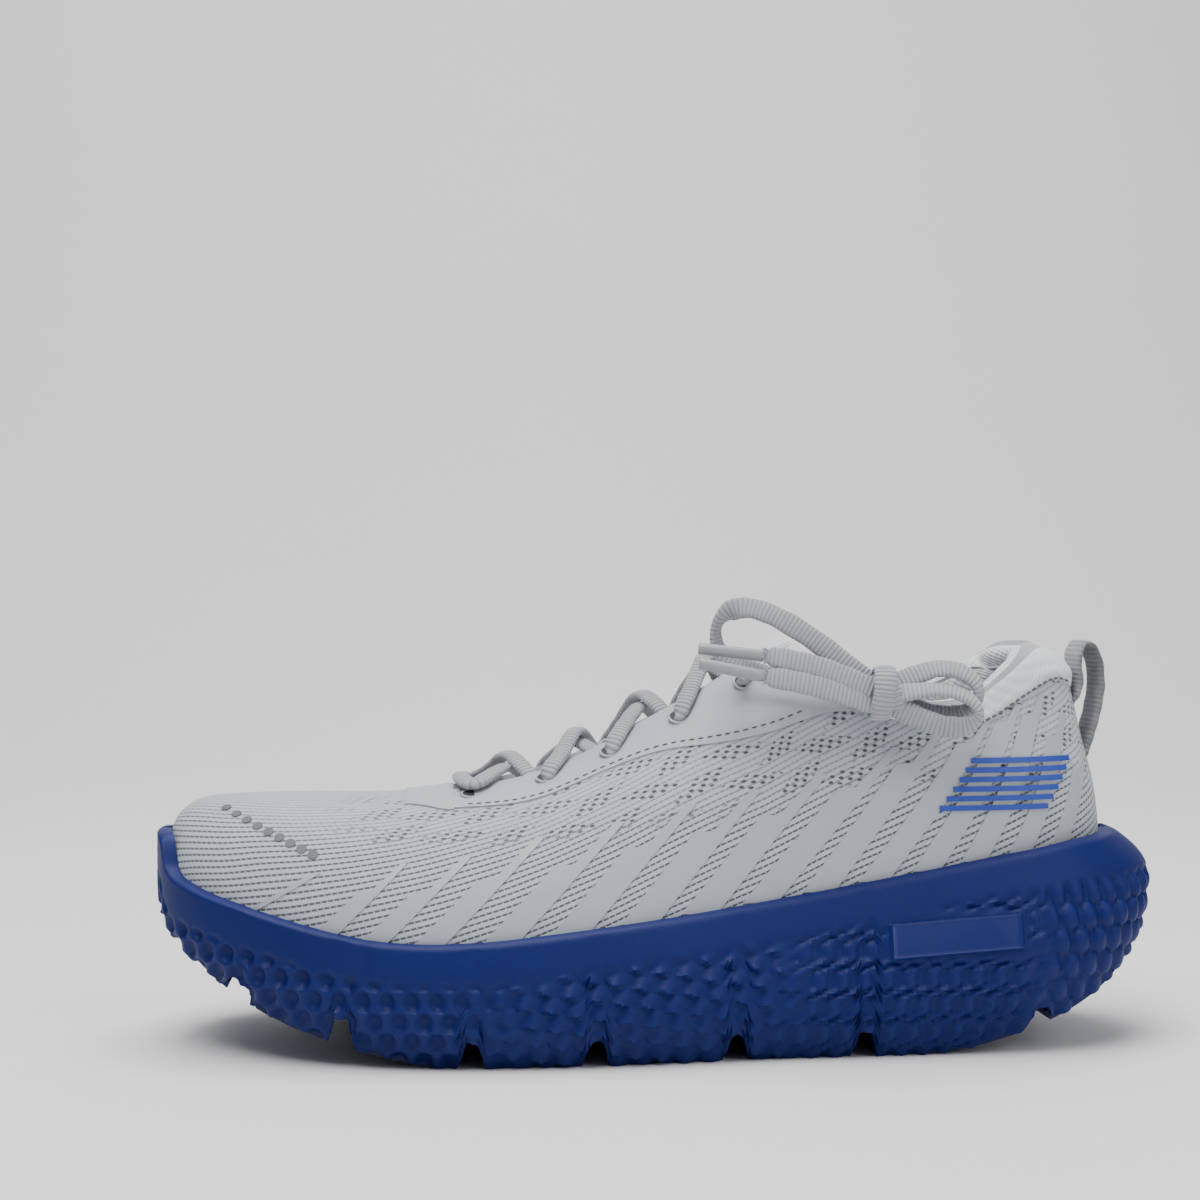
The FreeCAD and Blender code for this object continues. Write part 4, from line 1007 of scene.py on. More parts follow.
def make_sole():
    """Foam sole: sculpted sidewalls, smooth upper band, cross grooves and the foot's seat."""
    xs = spread(-HALF, HALF, 440, True, True)
    low = sole_bottom(xs) - 1.2 * smooth_step(xs, -149.5, -146.0) * (1.0 - smooth_step(xs, -140.0, -130.0))
    notch = groove_lift(xs)
    levels = np.linspace(0.0, 1.0, 58)
    walls = {}
    for side in SIDES:
        start = (low + notch)[:, None]
        x = xs[:, None] + 0.0 * levels[None, :]
        z = start + (sole_edge(xs)[:, None] - start) * levels[None, :]
        height = (z - low[:, None]) / np.maximum(sole_edge(xs) - low, 1.0)[:, None]
        points = sole_point(x, height, side, low[:, None])
        middle = points[:, 30]
        s = np.concatenate([[0.0], np.cumsum(np.linalg.norm(np.diff(middle[:, :2], axis=0), axis=-1))])
        step_x = np.gradient(points, axis=0)
        step_z = np.gradient(points, axis=1)
        normal = unit(np.cross(step_x, step_z) * -side)
        normal[0] = normal[-1] = 0.0
        normal[0, :, 0] = -1.0
        normal[-1, :, 0] = 1.0
        below_edge = (1.0 - height) * (sole_edge(xs) - low)[:, None]
        relief = scale_relief(s[:, None] + 0.0 * z, z, x, below_edge)
        badge = 1.0 - smooth_step(np.abs(x - PLATE_MIDDLE), PLATE_HALF_LENGTH, 22.0)
        badge = badge * (1.0 - smooth_step(np.abs(z - PLATE_LEVEL), 6.0, 8.0))
        relief = relief * (1.0 - badge) if side == LATERAL else relief
        edge_round = -1.2 * np.clip(1.0 - (1.0 - levels) / 0.05, 0.0, 1.0)[None, :] ** 2
        joint = 0.0
        if side == LATERAL:
            joint = -0.35 * np.exp(-((x + 87.0) / 0.9) ** 2) * (below_edge < 13.0)
        walls[side] = points + normal * (relief + edge_round + joint)[..., None]
        walls[side][..., 2] = np.maximum(walls[side][..., 2], 0.0)
    lateral = walls[LATERAL]
    medial = walls[MEDIAL]
    span = np.linspace(0.0, 1.0, 15)[1:-1]
    under = lateral[:, :1] + (medial[:, :1] - lateral[:, :1]) * span[None, :, None]
    raised = np.clip(np.minimum(span, 1.0 - span) * 14.0 - 0.9, 0.0, 1.0)
    under[..., 2] += (raised * 2.6)[None, :] * smooth_step(xs, -134.0, -118.0)[:, None]
    lips = {}
    for side in SIDES:
        top = walls[side][:, -1]
        along = np.gradient(top[:, :2], axis=0)
        inward = unit(np.stack([-along[:, 1], along[:, 0]], -1)) * (-side)
        rows = []
        for drop, inset in ((0.0, 3.2), (5.0, 3.8), (10.0, 5.0)):
            spot = top.copy()
            inset_by = np.minimum(inset, np.abs(top[:, 1] - CENTRE))
            spot[:, :2] = top[:, :2] + inward * inset_by[:, None]
            spot[:, 1] = CENTRE + side * np.maximum(side * (spot[:, 1] - CENTRE), 0.0)
            seat = np.maximum(foot_floor(xs) - 0.6, low + 1.0)
            spot[:, 2] += (seat - spot[:, 2]) * drop / 10.0
            rows.append(spot)
        lips[side] = np.stack(rows, 1)
    inner = lips[MEDIAL][:, -1:]
    bed = inner + (lips[LATERAL][:, -1:] - inner) * np.linspace(0, 1, 9)[1:-1][None, :, None]
    ring = np.concatenate([
        lateral[:, ::-1], under, medial, lips[MEDIAL], bed, lips[LATERAL][:, ::-1], lateral[:, -1:]], 1)
    piece = laid_grid("sole_unit", ring)
    clean(piece, 0.12)
    clean(piece, 0.0, fill=True)
    finish_piece(piece, FINISHES["foam"], ("midsole",), angle=50.0)
    return piece


def make_badge():
    """Plain raised plate that lies on the sidewall, with a slightly higher border."""
    low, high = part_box("sidewall_badge")
    middle = 0.5 * (low[0] + high[0]) / MM
    level = 0.5 * (low[2] + high[2]) / MM
    along = np.linspace(-PLATE_HALF_LENGTH, PLATE_HALF_LENGTH, 60)
    up = np.linspace(-PLATE_HALF_HEIGHT, PLATE_HALF_HEIGHT, 22)
    x = middle + along[:, None] + 0.0 * up[None, :]
    z = level + 0.07 * along[:, None] + up[None, :]
    bottom = sole_bottom(x)
    share = (z - bottom) / (sole_edge(x) - bottom)
    points = sole_point(x, share, LATERAL, bottom)
    normal = unit(np.cross(np.gradient(points, axis=0), np.gradient(points, axis=1)))
    normal = normal * np.sign(-normal[..., 1:2])
    rim = np.minimum(PLATE_HALF_LENGTH - np.abs(along)[:, None], PLATE_HALF_HEIGHT - np.abs(up)[None, :])
    rise = 0.95 + 0.30 * (1.0 - smooth_step(rim, 0.5, 1.0)) - 0.9 * np.clip(1.0 - rim / 0.35, 0.0, 1.0) ** 2
    piece = laid_grid("sidewall_plate", points + normal * rise[..., None])
    outward(piece, Vector((middle * MM, 0.0, level * MM)))
    use(piece, "SOLIDIFY", thickness=bpy.context.scene.shoe_sizes.plate_thickness, offset=-1.0)
    return finish_piece(piece, FINISHES["badge"], ("sidewall_badge",), angle=40.0)


# ---- laces -------------------------------------------------------------------------------------
ROUTES = {
    "lace_loop_tall": (
        (57.6, -39.6, 108.0), (47.5, -37.0, 116.4), (38.0, -34.0, 123.4), (28.2, -31.0, 129.0),
        (20.4, -28.5, 130.2), (14.6, -26.0, 126.0), (14.6, -24.6, 118.4), (19.6, -24.8, 113.0),
        (28.0, -28.0, 110.6), (38.0, -32.0, 108.4), (47.5, -34.6, 106.8), (57.4, -38.2, 105.6)),
    "lace_loop_upper": (
        (63.2, -40.2, 107.2), (72.0, -40.4, 111.0), (78.6, -41.4, 112.6), (85.0, -42.4, 111.2),
        (89.2, -43.0, 106.8), (88.4, -41.8, 101.6), (83.6, -40.2, 98.6), (77.0, -39.2, 98.6),
        (70.6, -38.6, 100.2), (63.0, -39.2, 103.2)),
    "lace_loop_lower": (
        (63.2, -43.6, 104.8), (72.4, -45.2, 106.4), (79.4, -46.2, 106.2), (86.0, -47.2, 103.6),
        (88.6, -47.6, 98.8), (84.2, -47.2, 95.4), (77.6, -46.4, 95.6), (71.4, -45.2, 97.8),
        (62.8, -43.2, 102.0)),
    "lace_tail_upper": (
        (57.6, -43.2, 106.6), (46.2, -43.0, 111.6), (36.4, -42.0, 114.4), (26.6, -41.0, 116.0)),
    "lace_tail_lower": (
        (57.8, -43.6, 102.4), (46.0, -44.8, 106.0), (36.2, -44.4, 108.6), (26.2, -43.6, 110.2)),
}
TAIL_FACING = ((0.0, -1.0, 0.3), (0.0, -1.0, 0.45))
AGLET_RISE = {"lace_tail_upper": -0.05, "lace_tail_lower": 0.04}


def spline_line(points):
    """The smooth line of a cord: a NURBS spline with the route's points as control points."""
    data = bpy.data.curves.new("route", "CURVE")
    data.dimensions = "3D"
    spline = data.splines.new("NURBS")
    spline.points.add(len(points) - 1)
    for point, place in zip(spline.points, points):
        point.co = (place[0] * MM, place[1] * MM, place[2] * MM, 1.0)
    spline.order_u = 3
    spline.use_endpoint_u = True
    data.resolution_u = 12
    carrier = bpy.data.objects.new("route", data)
    bpy.context.scene.collection.objects.link(carrier)
    bpy.context.view_layer.update()
    mesh = bpy.data.meshes.new_from_object(carrier)
    line = np.zeros(len(mesh.vertices) * 3)
    mesh.vertices.foreach_get("co", line)
    bpy.data.objects.remove(carrier, do_unlink=True)
    bpy.data.meshes.remove(mesh)
    return line.reshape(-1, 3) / MM


def resample(line, step):
    gaps = np.linalg.norm(np.diff(line, axis=0), axis=-1)
    run = np.concatenate([[0.0], np.cumsum(gaps)])
    count = max(int(run[-1] / step), 4)
    places = np.linspace(0.0, run[-1], count + 1)
    return np.stack([np.interp(places, run, line[:, k]) for k in range(3)], -1), run[-1]


def ribbon(name, line, facing, wide, thick, step=0.8):
    """A flat woven cord along a line; facing gives the way its flat side looks."""
    points, length = resample(line, step)
    count = len(points)
    tangent = unit(np.gradient(points, axis=0))
    share = np.linspace(0.0, 1.0, count)
    if callable(facing):
        face = facing(points)
    else:
        keys = np.atleast_2d(np.asarray(facing, float))
        where = np.linspace(0.0, 1.0, len(keys))
        face = np.stack([np.interp(share, where, keys[:, k]) for k in range(3)], -1)
    face = unit(face - tangent * np.sum(face * tangent, -1, keepdims=True))
    for _ in range(4):
        face[1:-1] = face[1:-1] + 0.5 * (face[:-2] + face[2:])
        face = unit(face - tangent * np.sum(face * tangent, -1, keepdims=True))
    across = np.cross(tangent, face)
    turn = np.linspace(0.0, math.tau, 17)
    c = np.sign(np.cos(turn)) * np.abs(np.cos(turn)) ** 0.72
    s = np.sign(np.sin(turn)) * np.abs(np.sin(turn)) ** 0.80
    wobble = 1.0 + 0.03 * np.sin(points[:, 0] * 1.3 + points[:, 2] * 0.9)
    ring = (
        points[:, None]
        + across[:, None] * (0.5 * wide * wobble)[:, None, None] * c[None, :, None]
        + face[:, None] * (0.5 * thick) * s[None, :, None]
    )
    cap_a = np.repeat(points[:1, None], len(turn), 1)
    cap_b = np.repeat(points[-1:, None], len(turn), 1)
    ring = np.concatenate([cap_a, ring, cap_b])
    u = np.concatenate([[0.0], share, [1.0]]) * length
    v = turn / math.tau * (2.0 * wide + 2.0 * thick)
    cloth = np.stack([np.repeat(u[:, None], len(turn), 1), np.repeat(v[None, :], len(u), 0)], -1)
    piece = laid_grid(name, ring, cloth)
    clean(piece, 0.01)
    return piece, points, length


def lacing_points():
    """Route of the criss-cross lacing, in and out of every eyelet."""
    radius = 1.8
    over = 0.6 + radius + 0.5
    under = -(1.4 + 0.3 + radius)
    hole = THROAT_HALF + EYELET_INSET

    def spot(x, distance, side, offset):
        if distance < 0:
            side = -side
            distance = -distance
        x = np.array(x, float)
        return on_last(x, at_width(x, distance, side), side, np.array(offset, float))

    halves = []
    for first in SIDES:
        points = []
        side = first
        for i, x in enumerate(EYELETS):
            if i > 0:
                points.append(spot(x - 1.5, hole - 4.5, side, under))
            points.append(spot(x, hole, side, under + 0.6))
            points.append(spot(x + 0.8, hole, side, over))
            if i + 1 < len(EYELETS):
                gap = EYELETS[i + 1] - x
                rise = 1.0 if first == LATERAL else 5.2
                points.append(spot(x + 0.3 * gap, hole - 8.0, side, over))
                points.append(spot(x + 0.52 * gap, 2.0, side, over + rise - 1.0))
                points.append(spot(x + 0.72 * gap, 6.5, -side, over + 0.5 * rise - 3.4))
                side = -side
        halves.append(points)
    bar = [spot(EYELETS[0] - 2.5, 10.0, LATERAL, over), spot(EYELETS[0] - 2.8, 10.0, MEDIAL, over)]
    return halves[0][1:][::-1] + bar + halves[1][1:]


def make_lacing():
    """The held crossings, one ribbon in and out of every eyelet."""
    sizes = bpy.context.scene.shoe_sizes
    line = spline_line(lacing_points())

    def facing(points):
        away = points - np.stack([points[:, 0] + 4.0, np.full(len(points), CENTRE), points[:, 2] - 40.0], -1)
        return unit(away)

    piece, _, _ = ribbon("lace_crossings", line, facing, sizes.lacing_width / MM, sizes.lacing_thickness / MM)
    return finish_piece(piece, FINISHES["lace"], ("lace_lacing",))


# along the strands, lean, width, height and depth of each wrap
KNOT_WRAPS = ((0.2, 0.12, 6.6, 7.0, 5.0), (3.4, -0.20, 3.6, 5.6, 4.3))


def make_knot():
    """The knot: two wraps round the strands over a soft core."""
    centre = np.array([60.5, -41.5, 105.2])
    pieces = []
    turn = np.linspace(0.0, math.tau, 60)
    for wrap, (shift, lean, wide, tall, deep) in enumerate(KNOT_WRAPS):
        x = centre[0] + shift + lean * 6.0 * np.sin(turn)
        line = np.stack([x, centre[1] - deep * np.cos(turn), centre[2] + tall * np.sin(turn)], -1)

        def facing(points):
            away = points - centre
            away[:, 0] = 0.0
            return unit(away)

        piece, _, _ = ribbon(f"knot_wrap_{wrap}", line, facing, wide=wide, thick=2.1)
        pieces.append(piece)
    deselect()
    bpy.ops.mesh.primitive_uv_sphere_add(segments=24, ring_count=16, radius=1.0, location=tuple(centre * MM))
    core = bpy.context.object
    core.scale = (5.0 * MM, 3.6 * MM, 5.4 * MM)
    bpy.ops.object.transform_apply(location=True, rotation=True, scale=True)
    core.data.uv_layers.active.name = "Cloth"
    pieces.append(core)
    piece = joined("lace_knot_tied", pieces, 0.0)
    return finish_piece(piece, FINISHES["lace"], ("lace_knot",))


LOOP_FACING = {
    "lace_loop_tall": (
        (-0.3, -1.0, 0.5), (-0.2, -1.0, 0.3), (0.9, -0.5, 0.2),
        (0.4, -0.6, -0.6), (0.1, -1.0, 0.0)),
    "lace_loop_upper": (
        (0.1, -1.0, 0.5), (0.0, -0.7, 0.9), (0.9, -0.5, 0.0),
        (0.2, -1.0, -0.5), (0.0, -1.0, 0.1)),
    "lace_loop_lower": (
        (0.1, -0.8, 0.7), (0.3, -0.5, 0.9), (0.9, -0.4, 0.0),
        (0.2, -0.9, -0.4), (0.0, -1.0, -0.2)),
}


def make_loops():
    sizes = bpy.context.scene.shoe_sizes
    for label in ("lace_loop_tall", "lace_loop_upper", "lace_loop_lower"):
        line = spline_line(ROUTES[label])
        piece, points, length = ribbon(f"{label}_woven", line, LOOP_FACING[label], sizes.lace_width / MM,
                                       sizes.lace_thickness / MM)
        finish_piece(piece, FINISHES["lace"], (label,))


def make_tails():
    """The two tails and the moulded tips that close them."""
    sizes = bpy.context.scene.shoe_sizes
    for label, rise in AGLET_RISE.items():
        route = np.array(ROUTES[label])
        heading = unit(route[-1] - route[-2])
        heading[2] += rise
        heading = unit(heading)
        inner = [route[-1] + heading * 6.0, route[-1] + heading * 12.0, route[-1] + heading * 17.0]
        line = spline_line([*route, *inner])
        piece, points, length = ribbon(f"{label}_woven", line, TAIL_FACING, sizes.lace_width / MM,
                                       sizes.lace_thickness / MM)
        # the woven part shrinks to a round core where the tip grips it
        tip_name = "aglet_upper" if label.endswith("upper") else "aglet_lower"
        squeeze_end(piece, route[-1], heading)
        finish_piece(piece, FINISHES["lace"], (label,))
        tip = make_tip(f"{tip_name}_tip", route[-1], heading)
        finish_piece(tip, FINISHES["aglet"], (tip_name,), angle=40.0)
        fray = fray_threads(f"{tip_name}_fray", route[-1], heading)


def squeeze_end(piece, start, heading):
    """Draws the end of a tail down to a round core inside its tip."""
    mesh = piece.data
    co = np.zeros(len(mesh.vertices) * 3)
    mesh.vertices.foreach_get("co", co)
    co = co.reshape(-1, 3) / MM
    along = (co - start) @ heading
    foot = start + along[:, None] * heading
    away = co - foot
    reach = np.linalg.norm(away, axis=-1)
    t = smooth_step(along, -3.2, 0.8)
    wanted = np.where(reach > 1.35, 1.35 + (reach - 1.35) * (1.0 - t), reach)
    inside = along > -6.0
    away = np.where(inside[:, None], away * (wanted / np.maximum(reach, 1e-6))[:, None], away)
    co = np.where(inside[:, None], foot + away, co)
    mesh.vertices.foreach_set("co", (co * MM).astype(np.float32).ravel())
    mesh.update()


def make_tip(name, start, heading):
    """A pressed tube: rounded ends, each with a shallow recess."""
    deselect()
    bpy.ops.mesh.primitive_cylinder_add(vertices=28, radius=1.7 * MM, depth=19.0 * MM, end_fill_type="NGON")
    tip = bpy.context.object
    tip.name = name
    tip.data.name = name
    use(tip, "BEVEL", width=0.35 * MM, segments=3, limit_method="ANGLE")
    pick(tip)
    bpy.ops.object.mode_set(mode="EDIT")
    bpy.ops.mesh.select_all(action="DESELECT")
    bpy.ops.object.mode_set(mode="OBJECT")
    for face in tip.data.polygons:
        face.select = abs(face.normal.z) > 0.99 and face.area > 5e-6
    bpy.ops.object.mode_set(mode="EDIT")
    bpy.ops.mesh.inset(thickness=0.35 * MM, depth=0.0)
    bpy.ops.mesh.inset(thickness=0.1 * MM, depth=-0.8 * MM)
    bpy.ops.object.mode_set(mode="OBJECT")
    direction = Vector(heading)
    centre = Vector((start + heading * 9.5) * MM)
    tip.rotation_euler = direction.to_track_quat("Z", "Y").to_euler()
    tip.location = centre
    bpy.ops.object.transform_apply(location=True, rotation=True, scale=True)
    return tip


def fray_threads(name, start, heading):
    """A few loose yarns where the weave goes into the tip."""
    pairs = []
    for k in range(14):
        turn = k * 2.4
        side = unit(np.cross(heading, [math.sin(k), math.cos(k * 1.7), 0.6]))
        other = np.cross(heading, side)
        out = side * math.cos(turn) + other * math.sin(turn)
        foot = start - heading * (0.4 + 0.22 * k % 1.3) + out * 1.5
        pairs.append((foot, foot + heading * (1.0 + 0.35 * (k % 3)) + out * (0.5 + 0.2 * (k % 4))))
    piece = stitches(name, pairs, 0.16, "lace_plain")
    return piece


def make_tab():
    """Webbing pull tab, sewn behind the collar at both ends."""
    sizes = bpy.context.scene.shoe_sizes
    middle = (
        (125.6, 0, 99.5), (128.2, 0, 102.6), (129.6, 0, 106.4), (129.0, 0, 111.0),
        (129.1, 0, 116.0), (131.0, 0, 119.4), (133.6, 0, 118.4), (135.8, 0, 112.5),
        (136.2, 0, 105.5), (134.9, 0, 98.0), (133.2, 0, 92.0), (131.6, 0, 87.0), (129.6, 0, 82.0))
    line, _ = resample(np.array(middle, float), 0.4)
    for _ in range(10):
        line[1:-1] = 0.25 * line[:-2] + 0.5 * line[1:-1] + 0.25 * line[2:]
    line[:, 1] = 0.0
    piece, _, _ = ribbon("webbing_tab", line, lambda p: unit(p - np.array([132.6, 0.0, 104.0])),
                                   sizes.tab_width / MM, sizes.tab_thickness / MM, step=0.5)
    finish_piece(piece, FINISHES["webbing"], ("pull_tab",), body=None)
    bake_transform(piece)
    return piece


# ---- carried-over nodes --------------------------------------------------------------------------
CARRIED = {
    "outsole_toe_pads": "rubber", "outsole_forefoot_pads": "rubber", "outsole_waist_pad": "rubber",
    "outsole_heel_pads": "rubber", "forefoot_plate": "dark", "strobel_board": "board",
    "sockliner": "sockliner", "heel_emblem": "emblem", "toe_dots": "dots", "heel_counter": "board",
    "toe_puff": "board", "collar_foam": "pad", "collar_roll": "pad",
}


def dress_nodes():
    """Gives the CAD nodes that stay their finished materials."""
    for node, finish in CARRIED.items():
        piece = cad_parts[node]
        piece.data.materials.clear()
        piece.data.materials.append(FINISHES[finish])


def make_finishes(colours):
    GROUPS["weave"] = weave_group()
    GROUPS["tone"] = wear_group()
    grey = tuple(colours.knit)
    FINISHES["knit"] = knit_material(grey, tuple(c * 0.17 for c in grey))
    FINISHES["film"] = film_material("throat_film_matte", tuple(colours.film), 0.50)
    FINISHES["strip"] = film_material("strip_film_matte", tuple(colours.film), 0.46)
    FINISHES["foam"] = foam_material("moulded_foam", tuple(colours.sole), 0.52)
    FINISHES["rubber"] = plain_film_material("outsole_rubber", tuple(c * 0.8 for c in colours.sole), 0.62)
    FINISHES["badge"] = plain_film_material("plate_satin", tuple(c * 1.15 for c in colours.sole), 0.36)
    FINISHES["lace"] = lace_material("woven_lace", tuple(colours.lace))
    FINISHES["lace_plain"] = plain_film_material("lace_yarn", tuple(colours.lace), 0.85)
    FINISHES["aglet"] = plain_film_material("tip_plastic", tuple(c * 0.8 for c in colours.lace), 0.32)
    lining = tuple(colours.lining)
    webbing = tuple(c * 0.50 for c in lining)
    # finish: its name, colour, yarns across and along, slant, dark share, bump strength and depth
    for finish, values in {
        "lining": ("spacer_mesh", lining, 420.0, 480.0, 0.5, 0.78, 0.6, 0.0005),
        "tongue": ("tongue_knit", lining, 700.0, 700.0, 0.0, 0.78, 0.5, 0.0004),
        "backing": ("knit_backing", grey, 700.0, 700.0, 0.0, 0.85, 0.4, 0.0004),
        "webbing": ("tab_webbing", webbing, 700.0, 1100.0, 1.0, 0.55, 0.8, 0.0006),
    }.items():
        FINISHES[finish] = cloth_material(*values)
    # dark moulding of the forefoot plate, and the painted shadow in the eyelet holes
    FINISHES["dark"] = plain_film_material("dark_moulding_and_hole_shadow", (0.035, 0.037, 0.045), 0.7)
    FINISHES["dots"] = plain_film_material("printed_dots", (0.11, 0.12, 0.14), 0.6)
    FINISHES["emblem"] = plain_film_material("printed_bars", tuple(colours.mark), 0.5)
    FINISHES["board"] = plain_film_material("fibre_board", (0.50, 0.50, 0.49), 0.9)
    FINISHES["pad"] = plain_film_material("open_foam", (0.42, 0.43, 0.45), 0.95)
    FINISHES["sockliner"] = plain_film_material("brushed_sockliner", (0.30, 0.31, 0.34), 0.95)
    FINISHES["thread"] = plain_film_material("seam_thread", (0.10, 0.105, 0.12), 0.8)


# ---- stage ---------------------------------------------------------------------------------------
def make_stage():
    """Pale sweep, soft light from above and in front, and the camera."""
    deselect()
    profile = (
        (-1.6, 0.0), (-0.6, 0.0), (0.55, 0.0), (0.85, 0.03), (1.05, 0.16), (1.15, 0.4), (1.18, 1.0),
        (1.18, 2.4))
    rows = np.array([[(x / MM, y / MM, z / MM) for x in np.linspace(-2.5, 2.5, 5)] for y, z in profile])
    floor = laid_grid("pale_sweep", rows)
    outward(floor, Vector((0.0, 0.0, -5.0)))
    use(floor, "SUBSURF", levels=3, render_levels=3)
    finish, pen, shader = material("pale_paper", 0.75, specular=0.3)
    tone = toned(pen, object_place(pen), (0.80, 0.80, 0.80), 0.03, 3.0, 300.0)
    pen.link(tone.outputs["Colour"], shader.inputs["Base Color"])
    floor.data.materials.append(finish)
    smooth(floor, 60.0)
    for label, place, size, power, aim in (
        ("key", (-0.35, -0.55, 1.35), 0.8, 19.0, (0.0, 0.0, 0.05)),
        ("fill", (0.9, -0.9, 0.75), 1.0, 7.0, (0.0, 0.0, 0.05)),
        ("top", (0.05, 0.25, 1.3), 0.9, 17.0, (0.0, 0.0, 0.05)),
    ):
        data = bpy.data.lights.new(label, "AREA")
        data.size = size
        data.energy = power
        lamp = bpy.data.objects.new(label, data)
        bpy.context.scene.collection.objects.link(lamp)
        lamp.location = place
        lamp.rotation_euler = (Vector(aim) - Vector(place)).to_track_quat("-Z", "Y").to_euler()
    world = bpy.data.worlds.new("studio")
    bpy.context.scene.world = world
    world.use_nodes = True
    world.node_tree.nodes["Background"].inputs[0].default_value = (0.80, 0.81, 0.83, 1.0)
    world.node_tree.nodes["Background"].inputs[1].default_value = 0.24
    data = bpy.data.cameras.new("camera")
    data.lens = 67.9
    data.sensor_width = 36.0
    data.clip_start = 0.01
    camera = bpy.data.objects.new("camera", data)
    bpy.context.scene.collection.objects.link(camera)
    camera.location = (-0.071, -0.685, 0.132)
    camera.rotation_euler = (math.radians(90.0), 0.0, math.radians(-4.47))
    bpy.context.scene.camera = camera


# ---- add-on --------------------------------------------------------------------------------------
def colour_property(name, description, default):
    return bpy.props.FloatVectorProperty(
        name=name, description=description, subtype="COLOR", size=3, min=0.0, max=1.0, default=default)


def size_property(name, description, default):
    return bpy.props.FloatProperty(
        name=name, description=description, unit="LENGTH", min=0.0001, precision=5, default=default)


class ShoeColours(bpy.types.PropertyGroup):
    """Colours of the finishes, as linear values."""
    knit: colour_property("Knit", "Knitted upper", (0.45, 0.49, 0.535))
    film: colour_property("Film", "Welded films", (0.385, 0.415, 0.45))
    lining: colour_property("Lining", "Collar and tongue", (0.72, 0.75, 0.79))
    lace: colour_property("Lace", "Woven lace", (0.36, 0.37, 0.405))
    sole: colour_property("Sole", "Moulded foam", (0.0035, 0.0100, 0.098))
    mark: colour_property("Mark", "Bars on the heel", (0.02, 0.055, 0.36))


class ShoeSizes(bpy.types.PropertyGroup):
    """Sizes that can be changed by themselves, in metres."""
    lace_width: size_property("Lace width", "Width of the loops and tails", 0.0065)
    lace_thickness: size_property("Lace thickness", "Thickness of the loops and tails", 0.0023)
    lacing_width: size_property("Lacing width", "Width of the held crossings", 0.0052)
    lacing_thickness: size_property("Lacing thickness", "Thickness of the held crossings", 0.0027)
    knit_thickness: size_property("Knit thickness", "Thickness of the upper's knit", 0.0013)
    film_thickness: size_property("Film thickness", "Thickness of the throat film", 0.0005)
    lining_thickness: size_property("Lining thickness", "Thickness of the collar's cloth", 0.0007)
    plate_thickness: size_property("Plate thickness", "Thickness of the sidewall plate", 0.0016)
    tab_width: size_property("Tab width", "Width of the pull tab's webbing", 0.018)
    tab_thickness: size_property("Tab thickness", "Thickness of the pull tab's webbing", 0.0015)


def make_all_strips():
    for table, kind in ((STRIPS, "side"), (HEEL_STRIPS, "heel")):
        for side, place, body_side in ((LATERAL, "outer", "lateral"), (MEDIAL, "inner", "medial")):
            make_strips(f"{kind}_strips_{place}", table, side, f"{kind}_stripes_{body_side}")


class SHOE_OT_finishes(bpy.types.Operator):
    """Makes every material from the colours in the scene"""
    bl_idname = "shoe.finishes"
    bl_label = "Finishes"

    def execute(self, context):
        make_finishes(context.scene.shoe_colours)
        return {"FINISHED"}


class SHOE_OT_stage(bpy.types.Operator):
    """Floor, lights and camera"""
    bl_idname = "shoe.stage"
    bl_label = "Stage"

    def execute(self, context):
        make_stage()
        return {"FINISHED"}


class SHOE_OT_cords(bpy.types.Operator):
    """Bow loops, tails and their tips"""
    bl_idname = "shoe.cords"
    bl_label = "Loops and tails"

    def execute(self, context):
        make_loops()
        make_tails()
        return {"FINISHED"}


class SHOE_OT_knot(bpy.types.Operator):
    """The tied knot"""
    bl_idname = "shoe.knot"
    bl_label = "Knot"

    def execute(self, context):
        make_knot()
        return {"FINISHED"}


class SHOE_OT_lacing(bpy.types.Operator):
    """The crossings over the tongue"""
    bl_idname = "shoe.lacing"
    bl_label = "Lacing"

    def execute(self, context):
        make_lacing()
        return {"FINISHED"}


class SHOE_OT_carried(bpy.types.Operator):
    """Finishes of the parts that keep their shape"""
    bl_idname = "shoe.carried"
    bl_label = "Inner parts"

    def execute(self, context):
        dress_nodes()
        return {"FINISHED"}


class SHOE_OT_sole(bpy.types.Operator):
    """Foam sole with its relief"""
    bl_idname = "shoe.sole"
    bl_label = "Sole"

    def execute(self, context):
        make_sole()
        return {"FINISHED"}


class SHOE_OT_badge(bpy.types.Operator):
    """Raised plate on the sidewall"""
    bl_idname = "shoe.badge"
    bl_label = "Plate"

    def execute(self, context):
        make_badge()
        return {"FINISHED"}


class SHOE_OT_upper(bpy.types.Operator):
    """Knitted upper"""
    bl_idname = "shoe.upper"
    bl_label = "Upper"

    def execute(self, context):
        make_upper()
        return {"FINISHED"}


class SHOE_OT_strips(bpy.types.Operator):
    """Slanted films on both sides"""
    bl_idname = "shoe.strips"
    bl_label = "Strips"

    def execute(self, context):
        make_all_strips()
        return {"FINISHED"}


class SHOE_OT_film(bpy.types.Operator):
    """Film, eyelets and stitches"""
    bl_idname = "shoe.film"
    bl_label = "Throat film"

    def execute(self, context):
        make_film()
        make_eyelets()
        make_film_stitching()
        return {"FINISHED"}


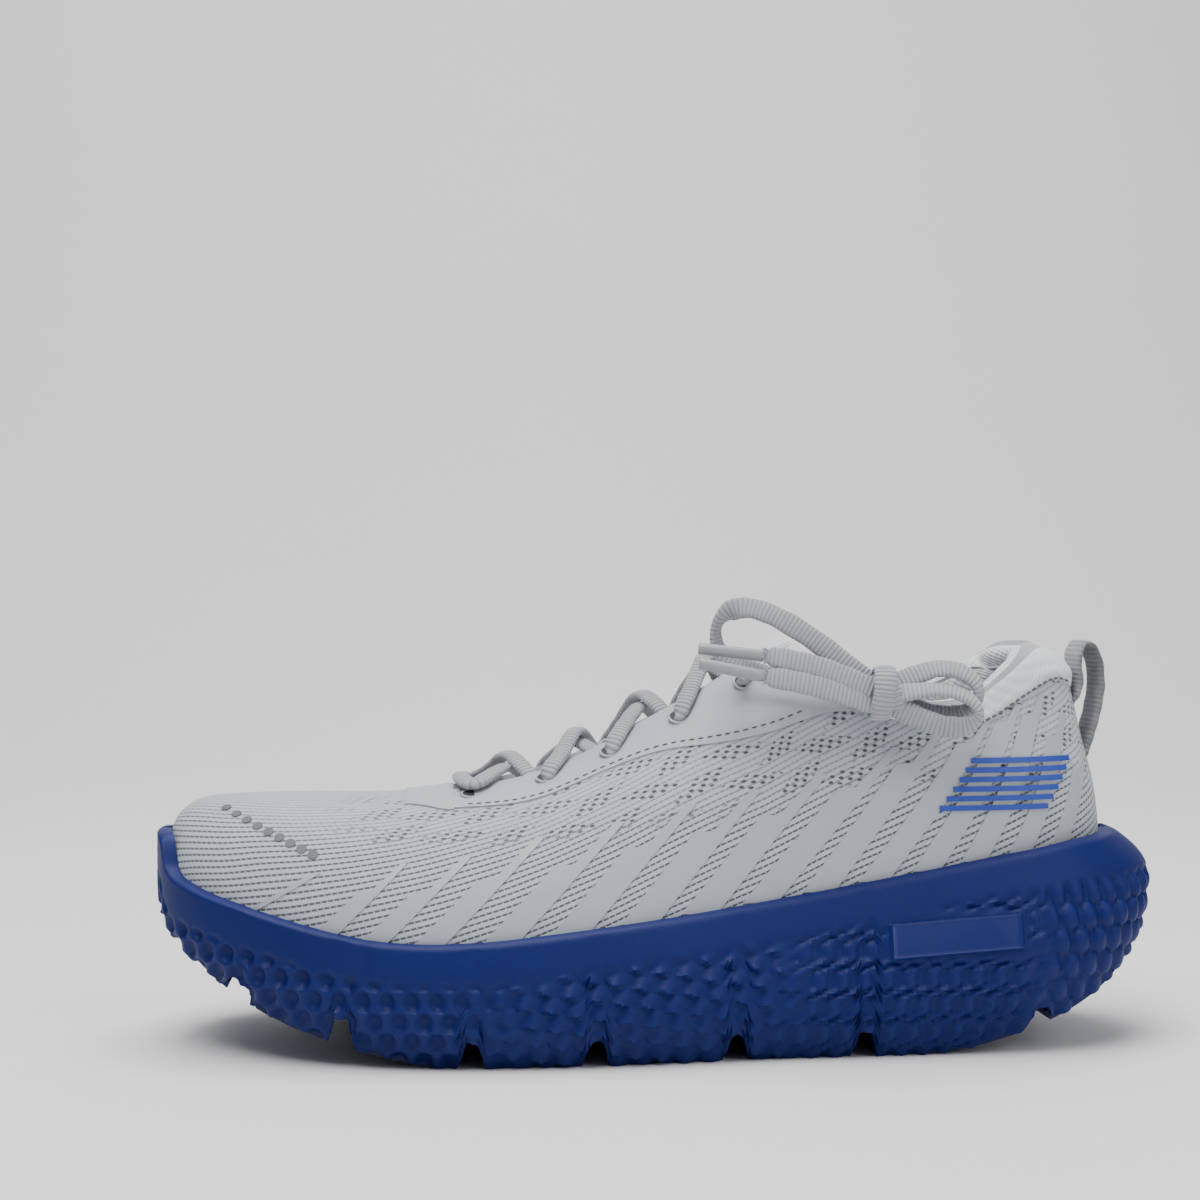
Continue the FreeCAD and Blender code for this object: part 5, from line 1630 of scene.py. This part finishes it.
class SHOE_OT_collar(bpy.types.Operator):
    """Padded collar"""
    bl_idname = "shoe.collar"
    bl_label = "Collar"

    def execute(self, context):
        make_collar()
        return {"FINISHED"}


class SHOE_OT_tongue(bpy.types.Operator):
    """Padded tongue"""
    bl_idname = "shoe.tongue"
    bl_label = "Tongue"

    def execute(self, context):
        make_tongue()
        return {"FINISHED"}


class SHOE_OT_tab(bpy.types.Operator):
    """Webbing tab behind the heel"""
    bl_idname = "shoe.tab"
    bl_label = "Pull tab"

    def execute(self, context):
        make_tab()
        return {"FINISHED"}


STEPS = (
    SHOE_OT_finishes, SHOE_OT_stage, SHOE_OT_cords, SHOE_OT_knot, SHOE_OT_lacing, SHOE_OT_carried,
    SHOE_OT_sole, SHOE_OT_badge, SHOE_OT_upper, SHOE_OT_strips, SHOE_OT_film, SHOE_OT_collar,
    SHOE_OT_tongue, SHOE_OT_tab,
)


class SHOE_PT_panel(bpy.types.Panel):
    """Lists the steps that build the shoe"""
    bl_idname = "SHOE_PT_panel"
    bl_label = "Running shoe"
    bl_space_type = "VIEW_3D"
    bl_region_type = "UI"
    bl_category = "Shoe"

    def draw(self, context):
        scene = context.scene
        for group, kind in ((scene.shoe_colours, ShoeColours), (scene.shoe_sizes, ShoeSizes)):
            for name in kind.__annotations__:
                self.layout.prop(group, name)
        for step in STEPS:
            self.layout.operator(step.bl_idname)


CLASSES = (ShoeColours, ShoeSizes, *STEPS, SHOE_PT_panel)


def register():
    for kind in CLASSES:
        bpy.utils.register_class(kind)
    bpy.types.Scene.shoe_colours = bpy.props.PointerProperty(type=ShoeColours)
    bpy.types.Scene.shoe_sizes = bpy.props.PointerProperty(type=ShoeSizes)


def unregister():
    del bpy.types.Scene.shoe_colours
    del bpy.types.Scene.shoe_sizes
    for kind in reversed(CLASSES):
        bpy.utils.unregister_class(kind)


def main():
    register()
    for step in STEPS:
        group, name = step.bl_idname.split(".")
        getattr(getattr(bpy.ops, group), name)()


if __name__ == "__main__":
    main()
